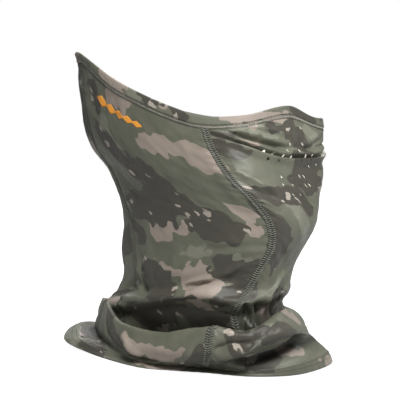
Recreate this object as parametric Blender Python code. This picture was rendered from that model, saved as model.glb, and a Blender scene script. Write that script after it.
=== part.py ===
# Neck and face gaiter, worn shape: a tapered fabric tube with a rear seam, two
# shaped side seams, a lapped mouth vent, a bound top edge and a turned hem that
# spreads on the table.  Millimetre tables, metres in the mesh.  +Z is up.
# The wearer's face points to +X, turned YAW degrees towards -Y.
import math
import bpy
import numpy as np

for old in list(bpy.data.objects):
    bpy.data.objects.remove(old, do_unlink=True)

# ------------------------------------------------------------ dimensions (mm)
YAW = 28.0            # turn of the wearer's mid plane about Z, degrees
FABRIC = 1.1          # jersey wall
BAND = 2.2            # folded binding and folded hem
GAP = 0.35            # clearance between neighbouring pieces
SEAM_W = 6.4          # flatlock cover width
SEAM_T = 0.8          # flatlock cover height
STITCH_W = 1.4        # cover stitch row
STITCH_T = 0.5
TUCK = 2.3            # how far the nose panel sits inside the lapped chin panel
PER_U = 3             # facets per control column
PER_V = 2             # facets per section
U_SEAM_R = 4.0        # right side seam column
U_SEAM_L = 9.0        # left side seam column
U_ALL = 14            # columns round the tube, column 0 is the rear seam
FLAP_U0, FLAP_U1 = 16 / 3, 7.0     # free middle of the mouth lip
FLAP_H = 1.20                   # its height in sections
FLAP_SLIT = 0.09                # slit below it, in sections
MARK_U0, MARK_U1 = 0.62, 2.05       # columns of the mark's two ends
MARK_V0, MARK_V1 = 1.74, 1.97       # sections of its two ends
SHEET_SPLIT = 1.0     # binding to panel line (section number)
HEM_SPLIT = 16.0      # panel to hem line (section number)
PANEL_END = 0.05      # panels stop this many sections short of the hem

# Loft sections from the top edge down along the cloth.  Each row holds nine
# stations (x, z, t) in mm: left outline, rear seam, four to the right seam,
# cheek, nose line, far cheek.  t is the distance from the wearer's mid plane.
SECTIONS = (
    ("edge", ((-125, 298, -26), (-126, 307, 0), (-88, 281, 34), (-56, 265, 52), (-26, 253, 60), (3, 245, 62), (42, 246, 48), (84, 254, 8), (119, 241, -40))),
    ("bind", ((-123, 288, -26), (-123, 297, 0), (-90, 271, 35), (-58, 255, 54), (-26, 242, 62), (4, 235, 64), (41, 237, 50), (84, 244, 8), (120, 231, -40))),
    ("crown", ((-122, 263, -24), (-122, 268, 2), (-90, 246, 36), (-58, 234, 56), (-24, 223, 64), (10, 218, 66), (46, 221, 52), (87, 223, 10), (121, 215, -38))),
    ("cheek", ((-118, 236, -22), (-117, 240, 4), (-88, 222, 37), (-56, 214, 56), (-19, 207, 65), (19, 202, 67), (51, 204, 53), (88, 203, 12), (120, 198, -34))),
    ("mouth", ((-110, 208, -20), (-109, 212, 6), (-78, 200, 38), (-46, 195, 56), (-9, 190, 64), (31, 186, 65), (59, 186, 50), (89, 183, 14), (118, 181, -28))),
    ("jaw", ((-87, 179, -16), (-89, 184, 8), (-61, 178, 38), (-31, 176, 54), (6, 174, 62), (46, 172, 60), (67, 170, 46), (92, 167, 16), (115, 164, -22))),
    ("chin", ((-72, 143, -8), (-74, 148, 16), (-42, 150, 42), (-10, 150, 54), (25, 150, 58), (64, 148, 48), (82, 146, 34), (98, 144, 12), (111, 142, -16))),
    ("neck", ((-76, 106, -6), (-67, 112, 20), (-34, 117, 42), (0, 121, 52), (34, 123, 54), (67, 125, 40), (80, 124, 28), (92, 123, 10), (101, 121, -14))),
    ("throat", ((-75, 79, -6), (-65, 87, 20), (-34, 93, 42), (-3, 98, 50), (27, 102, 50), (56, 101, 38), (68, 102, 28), (79, 101, 12), (91, 98, -12))),
    ("crease", ((-85, 59, -6), (-63, 68, 18), (-37, 74, 40), (-12, 82, 47), (16, 86, 48), (46, 81, 38), (63, 83, 28), (76, 84, 12), (86, 83, -10))),
    ("roll", ((-96, 44, -4), (-85, 51, 22), (-53, 63, 50), (-23, 73, 60), (6, 76, 60), (38, 70, 50), (55, 72, 38), (70, 74, 20), (84, 73, -6))),
    ("under", ((-94, 33, 0), (-79, 38, 18), (-50, 49, 38), (-19, 58, 48), (8, 60, 50), (32, 56, 43), (49, 58, 34), (64, 62, 18), (79, 63, -4))),
    ("valley", ((-97, 17, 0), (-86, 19, 22), (-57, 26, 46), (-23, 34, 57), (4, 38, 58), (34, 38, 51), (53, 40, 41), (69, 45, 24), (85, 52, 0))),
    ("lip", ((-106, 36, -6), (-102, 44, 16), (-80, 37, 50), (-40, 35, 67), (-9, 43, 71), (13, 48, 71), (43, 45, 61), (66, 55, 45), (84, 65, 10))),
    ("bulge", ((-109, 16, -6), (-107, 23, 16), (-84, 21, 56), (-46, 23, 75), (-17, 28, 79), (7, 32, 78), (46, 36, 69), (79, 46, 49), (100, 43, 6))),
    ("skirt", ((-106, 9, -4), (-104, 11, 18), (-80, 10, 52), (-46, 11, 69), (-19, 13, 73), (6, 17, 71), (39, 21, 63), (77, 27, 42), (110, 33, 0))),
    ("brim", ((-119, 22, -10), (-125, 12, 28), (-99, 6, 46), (-58, 5, 63), (-23, 5, 58), (5, 5, 51), (49, 5, 36), (91, 5, 6), (125, 11, -39))),
    ("hem", ((-126, 20, -12), (-143, 8, 28), (-112, 1.3, 46), (-62, 1.3, 69), (-24, 1.3, 64), (5, 1.3, 57), (52, 1.3, 41), (98, 1.3, 11), (131, 1.3, -41))),
)
# Far side: each of these columns mirrors a near station across the mid plane.
FAR_FROM_NEAR = {8: 4.9, 9: 4.0, 10: 3.0, 11: 2.0, 12: 1.1}
FAR_DROP = {8: 3.0, 9: 7.0, 10: 14.0, 11: 21.0, 12: 22.0}   # mm at the top edge
FAR_DROP_FADE = 6.0   # sections over which the drop fades out
FAR_SPREAD = {"lip": 0.9, "bulge": 0.86, "skirt": 0.95, "brim": 1.2, "hem": 1.22}

A = math.radians(YAW)
FWD = np.array([math.cos(A), -math.sin(A)])
NEAR = np.array([-math.sin(A), -math.cos(A)])


def station(x, z, t):
    y = -(t + x * math.sin(A)) / math.cos(A)
    return np.array([x, y, z], float)


def catmull(p0, p1, p2, p3, s):
    return 0.5 * ((2 * p1) + (p2 - p0) * s + (2 * p0 - 5 * p1 + 4 * p2 - p3) * s * s
                  + (3 * p1 - p0 - 3 * p2 + p3) * s ** 3)


def control_cage():
    cage = np.zeros((len(SECTIONS), U_ALL, 3))
    for k, (label, row) in enumerate(SECTIONS):
        near = [station(*row[1 + i]) for i in range(8)]
        cage[k, 13] = station(*row[0])
        for i in range(8):
            cage[k, i] = near[i]
        fade = max(0.0, 1.0 - k / FAR_DROP_FADE)
        for j, src in FAR_FROM_NEAR.items():
            i = int(src)
            q = near[i] + (near[min(i + 1, 7)] - near[i]) * (src - i)
            f, t = q[:2] @ FWD, q[:2] @ NEAR
            xy = f * FWD - t * FAR_SPREAD.get(label, 1.0) * NEAR
            cage[k, j] = (xy[0], xy[1], max(q[2] - FAR_DROP[j] * fade, 1.3))
    return cage


CAGE = control_cage()


def smooth_point(u, v):
    """Point of the smooth loft at column u (periodic) and section v, mm."""
    n = len(SECTIONS)
    v = min(max(v, 0.0), n - 1.0)
    k = min(int(v), n - 2)
    sv = v - k
    i = int(math.floor(u)) % U_ALL
    su = u - math.floor(u)
    rows = []
    for kk in (k - 1, k, k + 1, k + 2):
        kc = min(max(kk, 0), n - 1)
        p = [CAGE[kc, (i + d) % U_ALL] for d in (-1, 0, 1, 2)]
        rows.append(catmull(p[0], p[1], p[2], p[3], su))
    return catmull(rows[0], rows[1], rows[2], rows[3], sv)


NU = U_ALL * PER_U
NV = (len(SECTIONS) - 1) * PER_V
GRID = np.array([[smooth_point(i / PER_U, j / PER_V) for i in range(NU)] for j in range(NV + 1)])


def grid_normals():
    du = np.roll(GRID, -1, axis=1) - np.roll(GRID, 1, axis=1)
    dv = np.empty_like(GRID)
    dv[1:-1] = GRID[2:] - GRID[:-2]
    dv[0] = GRID[1] - GRID[0]
    dv[-1] = GRID[-1] - GRID[-2]
    n = np.cross(dv, du)
    return n / np.linalg.norm(n, axis=2, keepdims=True)


NORM = grid_normals()


def facet(u, v):
    """Point and outward normal on the faceted tube, mm."""
    a = (u % U_ALL) * PER_U
    b = min(max(v, 0.0), NV / PER_V) * PER_V
    i, j = int(math.floor(a + 1e-9)) % NU, min(int(b + 1e-9), NV - 1)
    s, r = a - math.floor(a + 1e-9), b - j
    i2 = (i + 1) % NU

    def mix(g):
        return ((g[j, i] * (1 - s) + g[j, i2] * s) * (1 - r)
                + (g[j + 1, i] * (1 - s) + g[j + 1, i2] * s) * r)
    n = mix(NORM)
    return mix(GRID), n / np.linalg.norm(n)


def step_u(u, v, mm):
    """Column reached after walking mm millimetres round the tube."""
    d = np.linalg.norm(facet(u + 0.1, v)[0] - facet(u - 0.1, v)[0]) / 0.2
    return u + mm / max(d, 1.0)


def step_v(u, v, mm):
    lo, hi = max(v - 0.1, 0.0), min(v + 0.1, NV / PER_V)
    d = np.linalg.norm(facet(u, hi)[0] - facet(u, lo)[0]) / (hi - lo)
    return v + mm / max(d, 1.0)


# -------------------------------------------------------------- mesh building
def material(name, rgb, rough=0.6):
    mat = bpy.data.materials.new(name)
    mat.use_nodes = True
    bsdf = mat.node_tree.nodes["Principled BSDF"]
    bsdf.inputs["Base Color"].default_value = (rgb[0], rgb[1], rgb[2], 1.0)
    bsdf.inputs["Roughness"].default_value = rough
    return mat


def solid(name, outer, inner, rgb, closed=False, origin=(0.0, 0.0, 0.0), rough=0.6):
    """Closed shell between two point grids [row][column], mm in, metres out."""
    outer, inner = np.asarray(outer, float), np.asarray(inner, float)
    rows, cols = outer.shape[:2]
    org = np.asarray(origin, float)
    verts = [tuple((p - org) / 1000.0) for p in outer.reshape(-1, 3)]
    verts += [tuple((p - org) / 1000.0) for p in inner.reshape(-1, 3)]
    base = rows * cols
    faces = []
    span = cols if closed else cols - 1
    for r in range(rows - 1):
        for c in range(span):
            d = (c + 1) % cols
            a0, b0, c0, d0 = r * cols + c, r * cols + d, (r + 1) * cols + d, (r + 1) * cols + c
            faces.append((a0, d0, c0, b0))
            faces.append((base + a0, base + b0, base + c0, base + d0))
    for c in range(span):
        d = (c + 1) % cols
        faces.append((c, d, base + d, base + c))
        last = (rows - 1) * cols
        faces.append((last + d, last + c, base + last + c, base + last + d))
    if not closed:
        for r in range(rows - 1):
            a0, b0 = r * cols, (r + 1) * cols
            faces.append((b0, a0, base + a0, base + b0))
            a1, b1 = a0 + cols - 1, b0 + cols - 1
            faces.append((a1, b1, base + b1, base + a1))
    mesh = bpy.data.meshes.new(name)
    mesh.from_pydata(verts, [], faces)
    mesh.validate()
    mesh.update()
    obj = bpy.data.objects.new(name, mesh)
    obj.location = tuple(org / 1000.0)
    bpy.context.scene.collection.objects.link(obj)
    mesh.materials.append(material(name + "_mat", rgb, rough))
    for poly in mesh.polygons:
        poly.use_smooth = True
    return obj


def patch(us_of_row, vs_of_col, lift, thick):
    """Outer and inner grids of a cloth patch.  us_of_row and vs_of_col hold
    the column and section numbers of every grid point."""
    outer, inner = [], []
    for ur, vr in zip(us_of_row, vs_of_col):
        o, q = [], []
        for u, v in zip(ur, vr):
            p, n = facet(u, v)
            up = lift(u, v) if callable(lift) else lift
            o.append(p + n * (up + thick / 2))
            q.append(p + n * (up - thick / 2))
        outer.append(o)
        inner.append(q)
    return outer, inner


def columns(u0, u1):
    first, last = math.ceil(u0 * PER_U - 1e-6), math.floor(u1 * PER_U + 1e-6)
    inside = [i / PER_U for i in range(first, last + 1) if u0 + 0.02 < i / PER_U < u1 - 0.02]
    return [u0] + inside + [u1]


def rows_between(v0, v1):
    inside = [j / PER_V for j in range(NV + 1) if v0 + 0.05 < j / PER_V < v1 - 0.05]
    return [v0] + inside + [v1]


def trimmed(us, v, mm):
    """Pull the first and last column in by mm millimetres."""
    out = list(us)
    out[0] = step_u(us[0], v, mm)
    out[-1] = step_u(us[-1], v, -mm)
    return out


def cos2(x):
    return math.cos(x) ** 2


def lap_v(u):
    """Section number of the chin panel's lapped top edge."""
    x = (u - 5.9) / (2.1 if u < 5.9 else 3.1)
    return 1.45 + 1.45 * (cos2(math.pi / 2 * x) if abs(x) < 1 else 0.0)


def flap_h(u):
    if u <= FLAP_U0 or u >= FLAP_U1:
        return 0.0
    return FLAP_H * math.sin(math.pi * (u - FLAP_U0) / (FLAP_U1 - FLAP_U0)) ** 0.8


EDGE = GAP / 2 + 0.35
DARK, MID, TAUPE = (0.105, 0.10, 0.085), (0.17, 0.18, 0.13), (0.33, 0.29, 0.25)
THREAD = (0.14, 0.145, 0.12)


def plain_panel(name, u0, u1, rgb):
    us = columns(u0, u1)
    vs = rows_between(SHEET_SPLIT, HEM_SPLIT)
    vs[0] = SHEET_SPLIT + 0.02
    vs[-1] = HEM_SPLIT - PANEL_END
    ur = [trimmed(us, v, EDGE) for v in vs]
    vr = [[v] * len(us) for v in vs]
    return solid(name, *patch(ur, vr, 0.0, FABRIC), rgb)


plain_panel("rear_panel_right", 0.0, U_SEAM_R, MID)
plain_panel("rear_panel_left", U_SEAM_L, float(U_ALL), MID)

# nose panel: from the binding down to inside the lap
front = columns(U_SEAM_R, U_SEAM_L)
NOSE_ROWS = 5
ur, vr = [], []
for r in range(NOSE_ROWS + 1):
    s = r / NOSE_ROWS
    vrow = []
    for u in front:
        top = SHEET_SPLIT + 0.02
        vrow.append(top + (lap_v(u) + 0.30 - top) * s)
    vr.append(vrow)
    ur.append(trimmed(front, 1.5, EDGE))


def nose_lift(u, v):
    s = min(max((v - SHEET_SPLIT) / max(lap_v(u) - SHEET_SPLIT - 0.12, 0.2), 0.0), 1.0)
    return -TUCK * (s * s * (3 - 2 * s))


solid("nose_panel", *patch(ur, vr, nose_lift, FABRIC), DARK)


# chin panel: from under the free lip down to the hem
CHIN_JOIN = 4.5
CHIN_HEAD = 4
ur, vr = [], []
flap_cols = [FLAP_U0 + c / (2 * PER_U) for c in range(11)]
chin_cols = sorted([u for u in front if u < FLAP_U0 - 0.05 or u > FLAP_U1 + 0.05] + flap_cols)


def chin_top(u):
    return float(np.interp(u, chin_cols, [lap_v(w) + flap_h(w) for w in chin_cols]))


for r in range(CHIN_HEAD):
    s = r / CHIN_HEAD
    vr.append([chin_top(u) + (CHIN_JOIN - chin_top(u)) * s for u in chin_cols])
    ur.append(trimmed(chin_cols, 2.0, EDGE))
for v in rows_between(CHIN_JOIN, HEM_SPLIT):
    v = min(v, HEM_SPLIT - PANEL_END)
    vr.append([v] * len(chin_cols))
    ur.append(trimmed(chin_cols, v, EDGE))
solid("chin_panel", *patch(ur, vr, 0.0, FABRIC), MID)

# free middle of the lapped lip, hinged along its lower edge
FLAP_ROWS = 3
ur, vr = [], []
flap_us = [FLAP_U0 + 0.13] + flap_cols[1:-1] + [FLAP_U1 - 0.13]
for r in range(FLAP_ROWS + 1):
    s = r / FLAP_ROWS
    vrow = []
    for u in flap_us:
        top = float(np.interp(u, chin_cols, [lap_v(w) for w in chin_cols]))
        vrow.append(top + (chin_top(u) - FLAP_SLIT - top) * s)
    ur.append(flap_us)
    vr.append(vrow)
low = [facet(u, v)[0] for u, v in zip(ur[-1], vr[-1])]
chord = low[-1] - low[0]
chord[2] = 0.0
AXIS_DIR = chord / np.linalg.norm(chord)
OUT_DIR = np.array([AXIS_DIR[1], -AXIS_DIR[0], 0.0])
if OUT_DIR[1] > 0:
    OUT_DIR = -OUT_DIR
front_most = max(low, key=lambda p: float(p @ OUT_DIR))
AXIS_POS = front_most + OUT_DIR * (FABRIC / 2)
solid("mouth_lip", *patch(ur, vr, 0.0, FABRIC), DARK, origin=AXIS_POS)

# ---------------------------------------------------------- binding and hem
all_u = [i / PER_U for i in range(NU)]
vs = [0.0, 0.5, SHEET_SPLIT - 0.03]
ur = [all_u for _ in vs]
vr = [[v] * NU for v in vs]
solid("top_band", *patch(ur, vr, 0.0, BAND), TAUPE, closed=True)

vs = [HEM_SPLIT + 0.04, HEM_SPLIT + 0.5, float(len(SECTIONS) - 1)]
outer, inner = [], []
for v in vs:
    o, q = [], []
    for u in all_u:
        p, n = facet(u, v)
        top, bot = p + n * (BAND / 2), p - n * (BAND / 2)
        if p[2] < 3.2:
            # pressed flat on the table
            top = np.array([p[0], p[1], BAND])
            bot = np.array([p[0], p[1], 0.0])
            if v < vs[-1]:
                top[2] = max(p[2] + 1.0, BAND)
        o.append(top)
        q.append(np.array([bot[0], bot[1], max(bot[2], 0.0)]))
    outer.append(o)
    inner.append(q)
solid("bottom_hem", outer, inner, TAUPE, closed=True)


# ------------------------------------------------------------- seam covers
def seam(name, u_line, half, lift, v_end):
    vs = rows_between(SHEET_SPLIT + 0.12, v_end)
    ur = [[step_u(u_line, v, -half), u_line, step_u(u_line, v, half)] for v in vs]
    vr = [[v] * 3 for v in vs]
    return solid(name, *patch(ur, vr, lift, SEAM_T), THREAD)


SEAM_LIFT = FABRIC / 2 + GAP + SEAM_T / 2
seam("side_seam_right", U_SEAM_R, SEAM_W / 2, SEAM_LIFT, HEM_SPLIT - 0.1)
seam("side_seam_left", U_SEAM_L, SEAM_W / 2, SEAM_LIFT, HEM_SPLIT - 0.1)
# the rear cover ends where the neck tube drops into the cowl's fold
seam("rear_seam", 0.0, SEAM_W / 2 - 0.6, SEAM_LIFT, 11.0)

# stitch rows that hold the binding and the hem, round the whole tube
vrow = [step_v(u, 0.5, -1.4) for u in all_u]
wrow = [step_v(u, 0.5, -1.4 + STITCH_W) for u in all_u]
lift = BAND / 2 + GAP + STITCH_T / 2
vr = [[v + 0.30 for v in vrow], [v + 0.30 for v in wrow]]
solid("top_band_stitching", *patch([all_u, all_u], vr, lift, STITCH_T), THREAD, closed=True)
HV = HEM_SPLIT + 0.32
top = []
bot = []
for mm in (-STITCH_W / 2, STITCH_W / 2):
    o, q = [], []
    for u in all_u:
        s = min(max((HV + mm / 12.0 - vs[0]) / (vs[1] - vs[0]), 0.0), 1.0)
        i = all_u.index(u)
        p = np.array(outer[0][i]) * (1 - s) + np.array(outer[1][i]) * s
        n = facet(u, HV)[1]
        o.append(p + n * (GAP + STITCH_T))
        q.append(p + n * GAP)
    top.append(o)
    bot.append(q)
solid("bottom_hem_stitching", top, bot, THREAD, closed=True)

# heat-pressed mark: five plain lozenges on a fine bar, no lettering
MARK_N = 5
mark_lift = FABRIC / 2 + 0.3 + 0.15
cols = MARK_N * 4
ur, vr = [], []
for side in (-1.0, 0.0, 1.0):
    urow, vrow = [], []
    for c in range(cols + 1):
        s = c / cols
        u = MARK_U0 + (MARK_U1 - MARK_U0) * s
        ph = abs(((c % 4) / 2.0) - 1.0)
        half = 0.7 + (4.8 - 0.6 * (c // 4)) * (1.0 - ph)
        urow.append(u)
        vrow.append(step_v(u, MARK_V0 + (MARK_V1 - MARK_V0) * s, side * half))
    ur.append(urow)
    vr.append(vrow)
solid("side_emblem", *patch(ur, vr, mark_lift, 0.3), (0.9, 0.38, 0.06))

# put the middle of the footprint box at the world origin
low = np.array([1e9, 1e9])
high = -low
for obj in bpy.context.scene.objects:
    for vert in obj.data.vertices:
        xy = np.array([vert.co.x + obj.location.x, vert.co.y + obj.location.y])
        low, high = np.minimum(low, xy), np.maximum(high, xy)
mid = (low + high) / 2
for obj in bpy.context.scene.objects:
    if obj.name == "mouth_lip":
        obj.location.x -= mid[0]
        obj.location.y -= mid[1]
    else:
        for vert in obj.data.vertices:
            vert.co.x -= mid[0]
            vert.co.y -= mid[1]
    obj.data.update()
print("shift", mid, "hinge", AXIS_POS / 1000.0 - np.array([mid[0], mid[1], 0.0]), AXIS_DIR)
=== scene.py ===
import bpy
import math
import numpy as np
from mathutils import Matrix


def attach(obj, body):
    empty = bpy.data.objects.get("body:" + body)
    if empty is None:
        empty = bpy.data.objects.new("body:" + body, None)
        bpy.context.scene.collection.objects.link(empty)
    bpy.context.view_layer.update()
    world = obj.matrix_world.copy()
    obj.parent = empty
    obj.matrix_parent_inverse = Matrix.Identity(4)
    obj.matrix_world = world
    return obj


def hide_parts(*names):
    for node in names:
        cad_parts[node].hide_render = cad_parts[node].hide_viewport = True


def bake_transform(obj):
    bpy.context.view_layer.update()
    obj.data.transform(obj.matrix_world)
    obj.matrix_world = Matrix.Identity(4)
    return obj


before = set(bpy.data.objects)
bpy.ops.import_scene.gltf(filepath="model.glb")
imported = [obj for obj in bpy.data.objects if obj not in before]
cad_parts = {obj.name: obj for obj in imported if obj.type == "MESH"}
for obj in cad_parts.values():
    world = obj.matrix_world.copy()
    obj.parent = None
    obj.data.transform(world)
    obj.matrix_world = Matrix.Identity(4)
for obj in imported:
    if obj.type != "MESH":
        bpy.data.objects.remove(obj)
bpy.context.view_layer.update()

# ---------------------------------------------------------------- dimensions
# Millimetres in the gaiter's own bench frame.  SHIFT takes bench to the row.
SHIFT = np.array([6.2449, 3.27687, 0.0])
YAW = 28.0
U_ALL = 14
U_SEAM_R, U_SEAM_L = 4.0, 9.0
V_BIND, V_HEM, V_END = 1.0, 16.0, 17.0
CLOTH = 0.7
TUCK = 2.1

SECTIONS = (
    ("edge", ((-125, 298, -26), (-126, 307, 0), (-88, 281, 34), (-56, 265, 52), (-26, 253, 60), (3, 245, 62), (42, 246, 48), (84, 254, 8), (119, 241, -40))),
    ("bind", ((-123, 288, -26), (-123, 297, 0), (-90, 271, 35), (-58, 255, 54), (-26, 242, 62), (4, 235, 64), (41, 237, 50), (84, 244, 8), (120, 231, -40))),
    ("crown", ((-122, 263, -24), (-122, 268, 2), (-90, 246, 36), (-58, 234, 56), (-24, 223, 64), (10, 218, 66), (46, 221, 52), (87, 223, 10), (121, 215, -38))),
    ("cheek", ((-118, 236, -22), (-117, 240, 4), (-88, 222, 37), (-56, 214, 56), (-19, 207, 65), (19, 202, 67), (51, 204, 53), (88, 203, 12), (120, 198, -34))),
    ("mouth", ((-110, 208, -20), (-109, 212, 6), (-78, 200, 38), (-46, 195, 56), (-9, 190, 64), (31, 186, 65), (59, 186, 50), (89, 183, 14), (118, 181, -28))),
    ("jaw", ((-87, 179, -16), (-89, 184, 8), (-61, 178, 38), (-31, 176, 54), (6, 174, 62), (46, 172, 60), (67, 170, 46), (92, 167, 16), (115, 164, -22))),
    ("chin", ((-72, 143, -8), (-74, 148, 16), (-42, 150, 42), (-10, 150, 54), (25, 150, 58), (64, 148, 48), (82, 146, 34), (98, 144, 12), (111, 142, -16))),
    ("neck", ((-76, 106, -6), (-67, 112, 20), (-34, 117, 42), (0, 121, 52), (34, 123, 54), (67, 125, 40), (80, 124, 28), (92, 123, 10), (101, 121, -14))),
    ("throat", ((-75, 79, -6), (-65, 87, 20), (-34, 93, 42), (-3, 98, 50), (27, 102, 50), (56, 101, 38), (68, 102, 28), (79, 101, 12), (91, 98, -12))),
    ("crease", ((-85, 59, -6), (-63, 68, 18), (-37, 74, 40), (-12, 82, 47), (16, 86, 48), (46, 81, 38), (63, 83, 28), (76, 84, 12), (86, 83, -10))),
    ("roll", ((-96, 44, -4), (-85, 51, 22), (-53, 63, 50), (-23, 73, 60), (6, 76, 60), (38, 70, 50), (55, 72, 38), (70, 74, 20), (84, 73, -6))),
    ("under", ((-94, 33, 0), (-79, 38, 18), (-50, 49, 38), (-19, 58, 48), (8, 60, 50), (32, 56, 43), (49, 58, 34), (64, 62, 18), (79, 63, -4))),
    ("valley", ((-97, 17, 0), (-86, 19, 22), (-57, 26, 46), (-23, 34, 57), (4, 38, 58), (34, 38, 51), (53, 40, 41), (69, 45, 24), (85, 52, 0))),
    ("lip", ((-106, 36, -6), (-102, 44, 16), (-80, 37, 50), (-40, 35, 67), (-9, 43, 71), (13, 48, 71), (43, 45, 61), (66, 55, 45), (84, 65, 10))),
    ("bulge", ((-109, 16, -6), (-107, 23, 16), (-84, 21, 56), (-46, 23, 75), (-17, 28, 79), (7, 32, 78), (46, 36, 69), (79, 46, 49), (100, 43, 6))),
    ("skirt", ((-106, 9, -4), (-104, 11, 18), (-80, 10, 52), (-46, 11, 69), (-19, 13, 73), (6, 17, 71), (39, 21, 63), (77, 27, 42), (110, 33, 0))),
    ("brim", ((-119, 22, -10), (-125, 12, 28), (-99, 6, 46), (-58, 5, 63), (-23, 5, 58), (5, 5, 51), (49, 5, 36), (91, 5, 6), (125, 11, -39))),
    ("hem", ((-126, 20, -12), (-143, 8, 28), (-112, 1.3, 46), (-62, 1.3, 69), (-24, 1.3, 64), (5, 1.3, 57), (52, 1.3, 41), (98, 1.3, 11), (131, 1.3, -41))),
)
# Far side: each of these columns mirrors a near station across the mid plane.
FAR_FROM_NEAR = {8: 4.9, 9: 4.0, 10: 3.0, 11: 2.0, 12: 1.1}
FAR_DROP = {8: 3.0, 9: 7.0, 10: 14.0, 11: 21.0, 12: 22.0}   # mm at the top edge
FAR_DROP_FADE = 6.0   # sections over which the drop fades out
FAR_SPREAD = {"lip": 0.9, "bulge": 0.86, "skirt": 0.95, "brim": 1.2, "hem": 1.22}

A = math.radians(YAW)
FWD = np.array([math.cos(A), -math.sin(A)])
NEAR = np.array([-math.sin(A), -math.cos(A)])


def station(x, z, t):
    return np.array([x, -(t + x * math.sin(A)) / math.cos(A), z], float)


def control_cage():
    cage = np.zeros((len(SECTIONS), U_ALL, 3))
    for k, (label, row) in enumerate(SECTIONS):
        near = [station(*row[1 + i]) for i in range(8)]
        cage[k, 13] = station(*row[0])
        for i in range(8):
            cage[k, i] = near[i]
        fade = max(0.0, 1.0 - k / FAR_DROP_FADE)
        for j, src in FAR_FROM_NEAR.items():
            i = int(src)
            q = near[i] + (near[min(i + 1, 7)] - near[i]) * (src - i)
            f, t = q[:2] @ FWD, q[:2] @ NEAR
            xy = f * FWD - t * FAR_SPREAD.get(label, 1.0) * NEAR
            cage[k, j] = (xy[0], xy[1], max(q[2] - FAR_DROP[j] * fade, 1.3))
    return cage


CAGE = control_cage()
# The look's own drape: (section, column, x, y, z) in mm.  The cowl's left end
# stands up close to the neck and the far flap of the hem lies lower.
for k, i, dx, dy, dz in ((12, 13, 6, 0, -4), (13, 13, 12, 0, 11), (13, 12, 11, 0, 2), (13, 0, 5, 0, 7), (14, 13, 6, 0, 2), (13, 7, -3, 0, -6), (14, 7, 0, 0, -2), (14, 12, 6, 0, 0),
                         (15, 13, 5, 0, -3), (15, 12, 5, 0, -2), (16, 13, 0, 0, -4), (16, 12, 0, 0, -4), (17, 13, 0, 0, -4), (17, 12, 0, 0, -4)):
    CAGE[k, i] = (CAGE[k, i, 0] + dx, CAGE[k, i, 1] + dy, max(CAGE[k, i, 2] + dz, 1.3))
# Below the bulge in front the cloth turns in to a crease and comes out again
# as a flap: (section, column, x, z, t) of the new place.
for k, i, x, z, dist in ((15, 5, 40, 16, 52), (15, 6, 79, 26, 27), (15, 7, 107, 32, -10),
                         (16, 5, 49, 6, 47), (16, 6, 93, 13, 23), (16, 7, 124, 15, -30),
                         (17, 5, 52, 1.3, 48), (17, 6, 98, 1.3, 17)):
    CAGE[k, i] = station(x, z, dist)
NS = len(SECTIONS)


def weights(s):
    return np.stack([-0.5 * s + s * s - 0.5 * s ** 3, 1 - 2.5 * s * s + 1.5 * s ** 3,
                     0.5 * s + 2 * s * s - 1.5 * s ** 3, -0.5 * s * s + 0.5 * s ** 3], -1)


def surf(u, v):
    """Loft point at columns u and sections v (arrays), bench mm."""
    u, v = np.broadcast_arrays(np.asarray(u, float), np.clip(np.asarray(v, float), 0, NS - 1.0))
    k = np.minimum(v.astype(int), NS - 2)
    i = np.floor(u).astype(int)
    wu, wv = weights(u - i), weights(v - k)
    out = np.zeros(u.shape + (3,))
    for p in range(4):
        kc = np.clip(k + p - 1, 0, NS - 1)
        for q in range(4):
            out += (wv[..., p] * wu[..., q])[..., None] * CAGE[kc, (i + q - 1) % U_ALL]
    # the nose peak is a fold in the cloth, so the edge falls straight from it
    um = np.mod(u, U_ALL)
    dip = np.where((um > 6) & (um < 7), np.sin(math.pi * (um - 6)) ** 2, 0.0)
    out[..., 2] -= 4.0 * dip * np.exp(-v / 1.3)
    return out


def frame_at(u, v, h=0.06):
    """Unit normal, unit tangent along v and unit tangent round u."""
    vlo, vhi = np.clip(v - h, 0, NS - 1), np.clip(v + h, 0, NS - 1)
    dv = surf(u, vhi) - surf(u, vlo)
    du = surf(u + h, v) - surf(u - h, v)
    n = np.cross(dv, du)

    def unit(x):
        return x / np.maximum(np.linalg.norm(x, axis=-1, keepdims=True), 1e-9)
    return unit(n), unit(dv), unit(du)


# master grid: cloth coordinates (a round the tube, b down the cloth), in mm
MU, MV = 24, 20
mu = np.arange(-5 * MU, 14 * MU + 1) / MU
mv = np.arange(0, (NS - 1) * MV + 1) / MV
MP = surf(mu[None, :], mv[:, None])
step = np.linalg.norm(np.diff(MP, axis=1), axis=2)
MA = np.concatenate([np.zeros((len(mv), 1)), np.cumsum(step, axis=1)], axis=1)
MA -= MA[:, [int((U_SEAM_R + 5) * MU)]]
step = np.linalg.norm(np.diff(MP, axis=0), axis=2)
MB = np.concatenate([np.zeros((1, len(mu))), np.cumsum(step, axis=0)], axis=0)


def lookup(table, u, v):
    x = np.clip((np.asarray(u, float) + 5) * MU, 0, len(mu) - 1.001)
    y = np.clip(np.asarray(v, float) * MV, 0, len(mv) - 1.001)
    i, j = x.astype(int), y.astype(int)
    s, r = x - i, y - j
    return ((table[j, i] * (1 - s) + table[j, i + 1] * s) * (1 - r)
            + (table[j + 1, i] * (1 - s) + table[j + 1, i + 1] * s) * r)


# --------------------------------------------------- front view drawing board
# The print and the folds are laid out on a drawing board 400 units wide and
# high in front of the wearer's right side, then carried onto the cloth.
EYE_D, EYE_TILT, EYE_Z = 1100.0, math.radians(6.0), 159.5
CE, SE = math.cos(EYE_TILT), math.sin(EYE_TILT)


def board(p):
    w, hgt = p[..., 1] + EYE_D * CE, p[..., 2] - EYE_Z - EYE_D * SE
    d = w * CE - hgt * SE
    return np.stack([200 + p[..., 0] / d * EYE_D, 200 - (w * SE + hgt * CE) / d * EYE_D], -1), d


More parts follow.
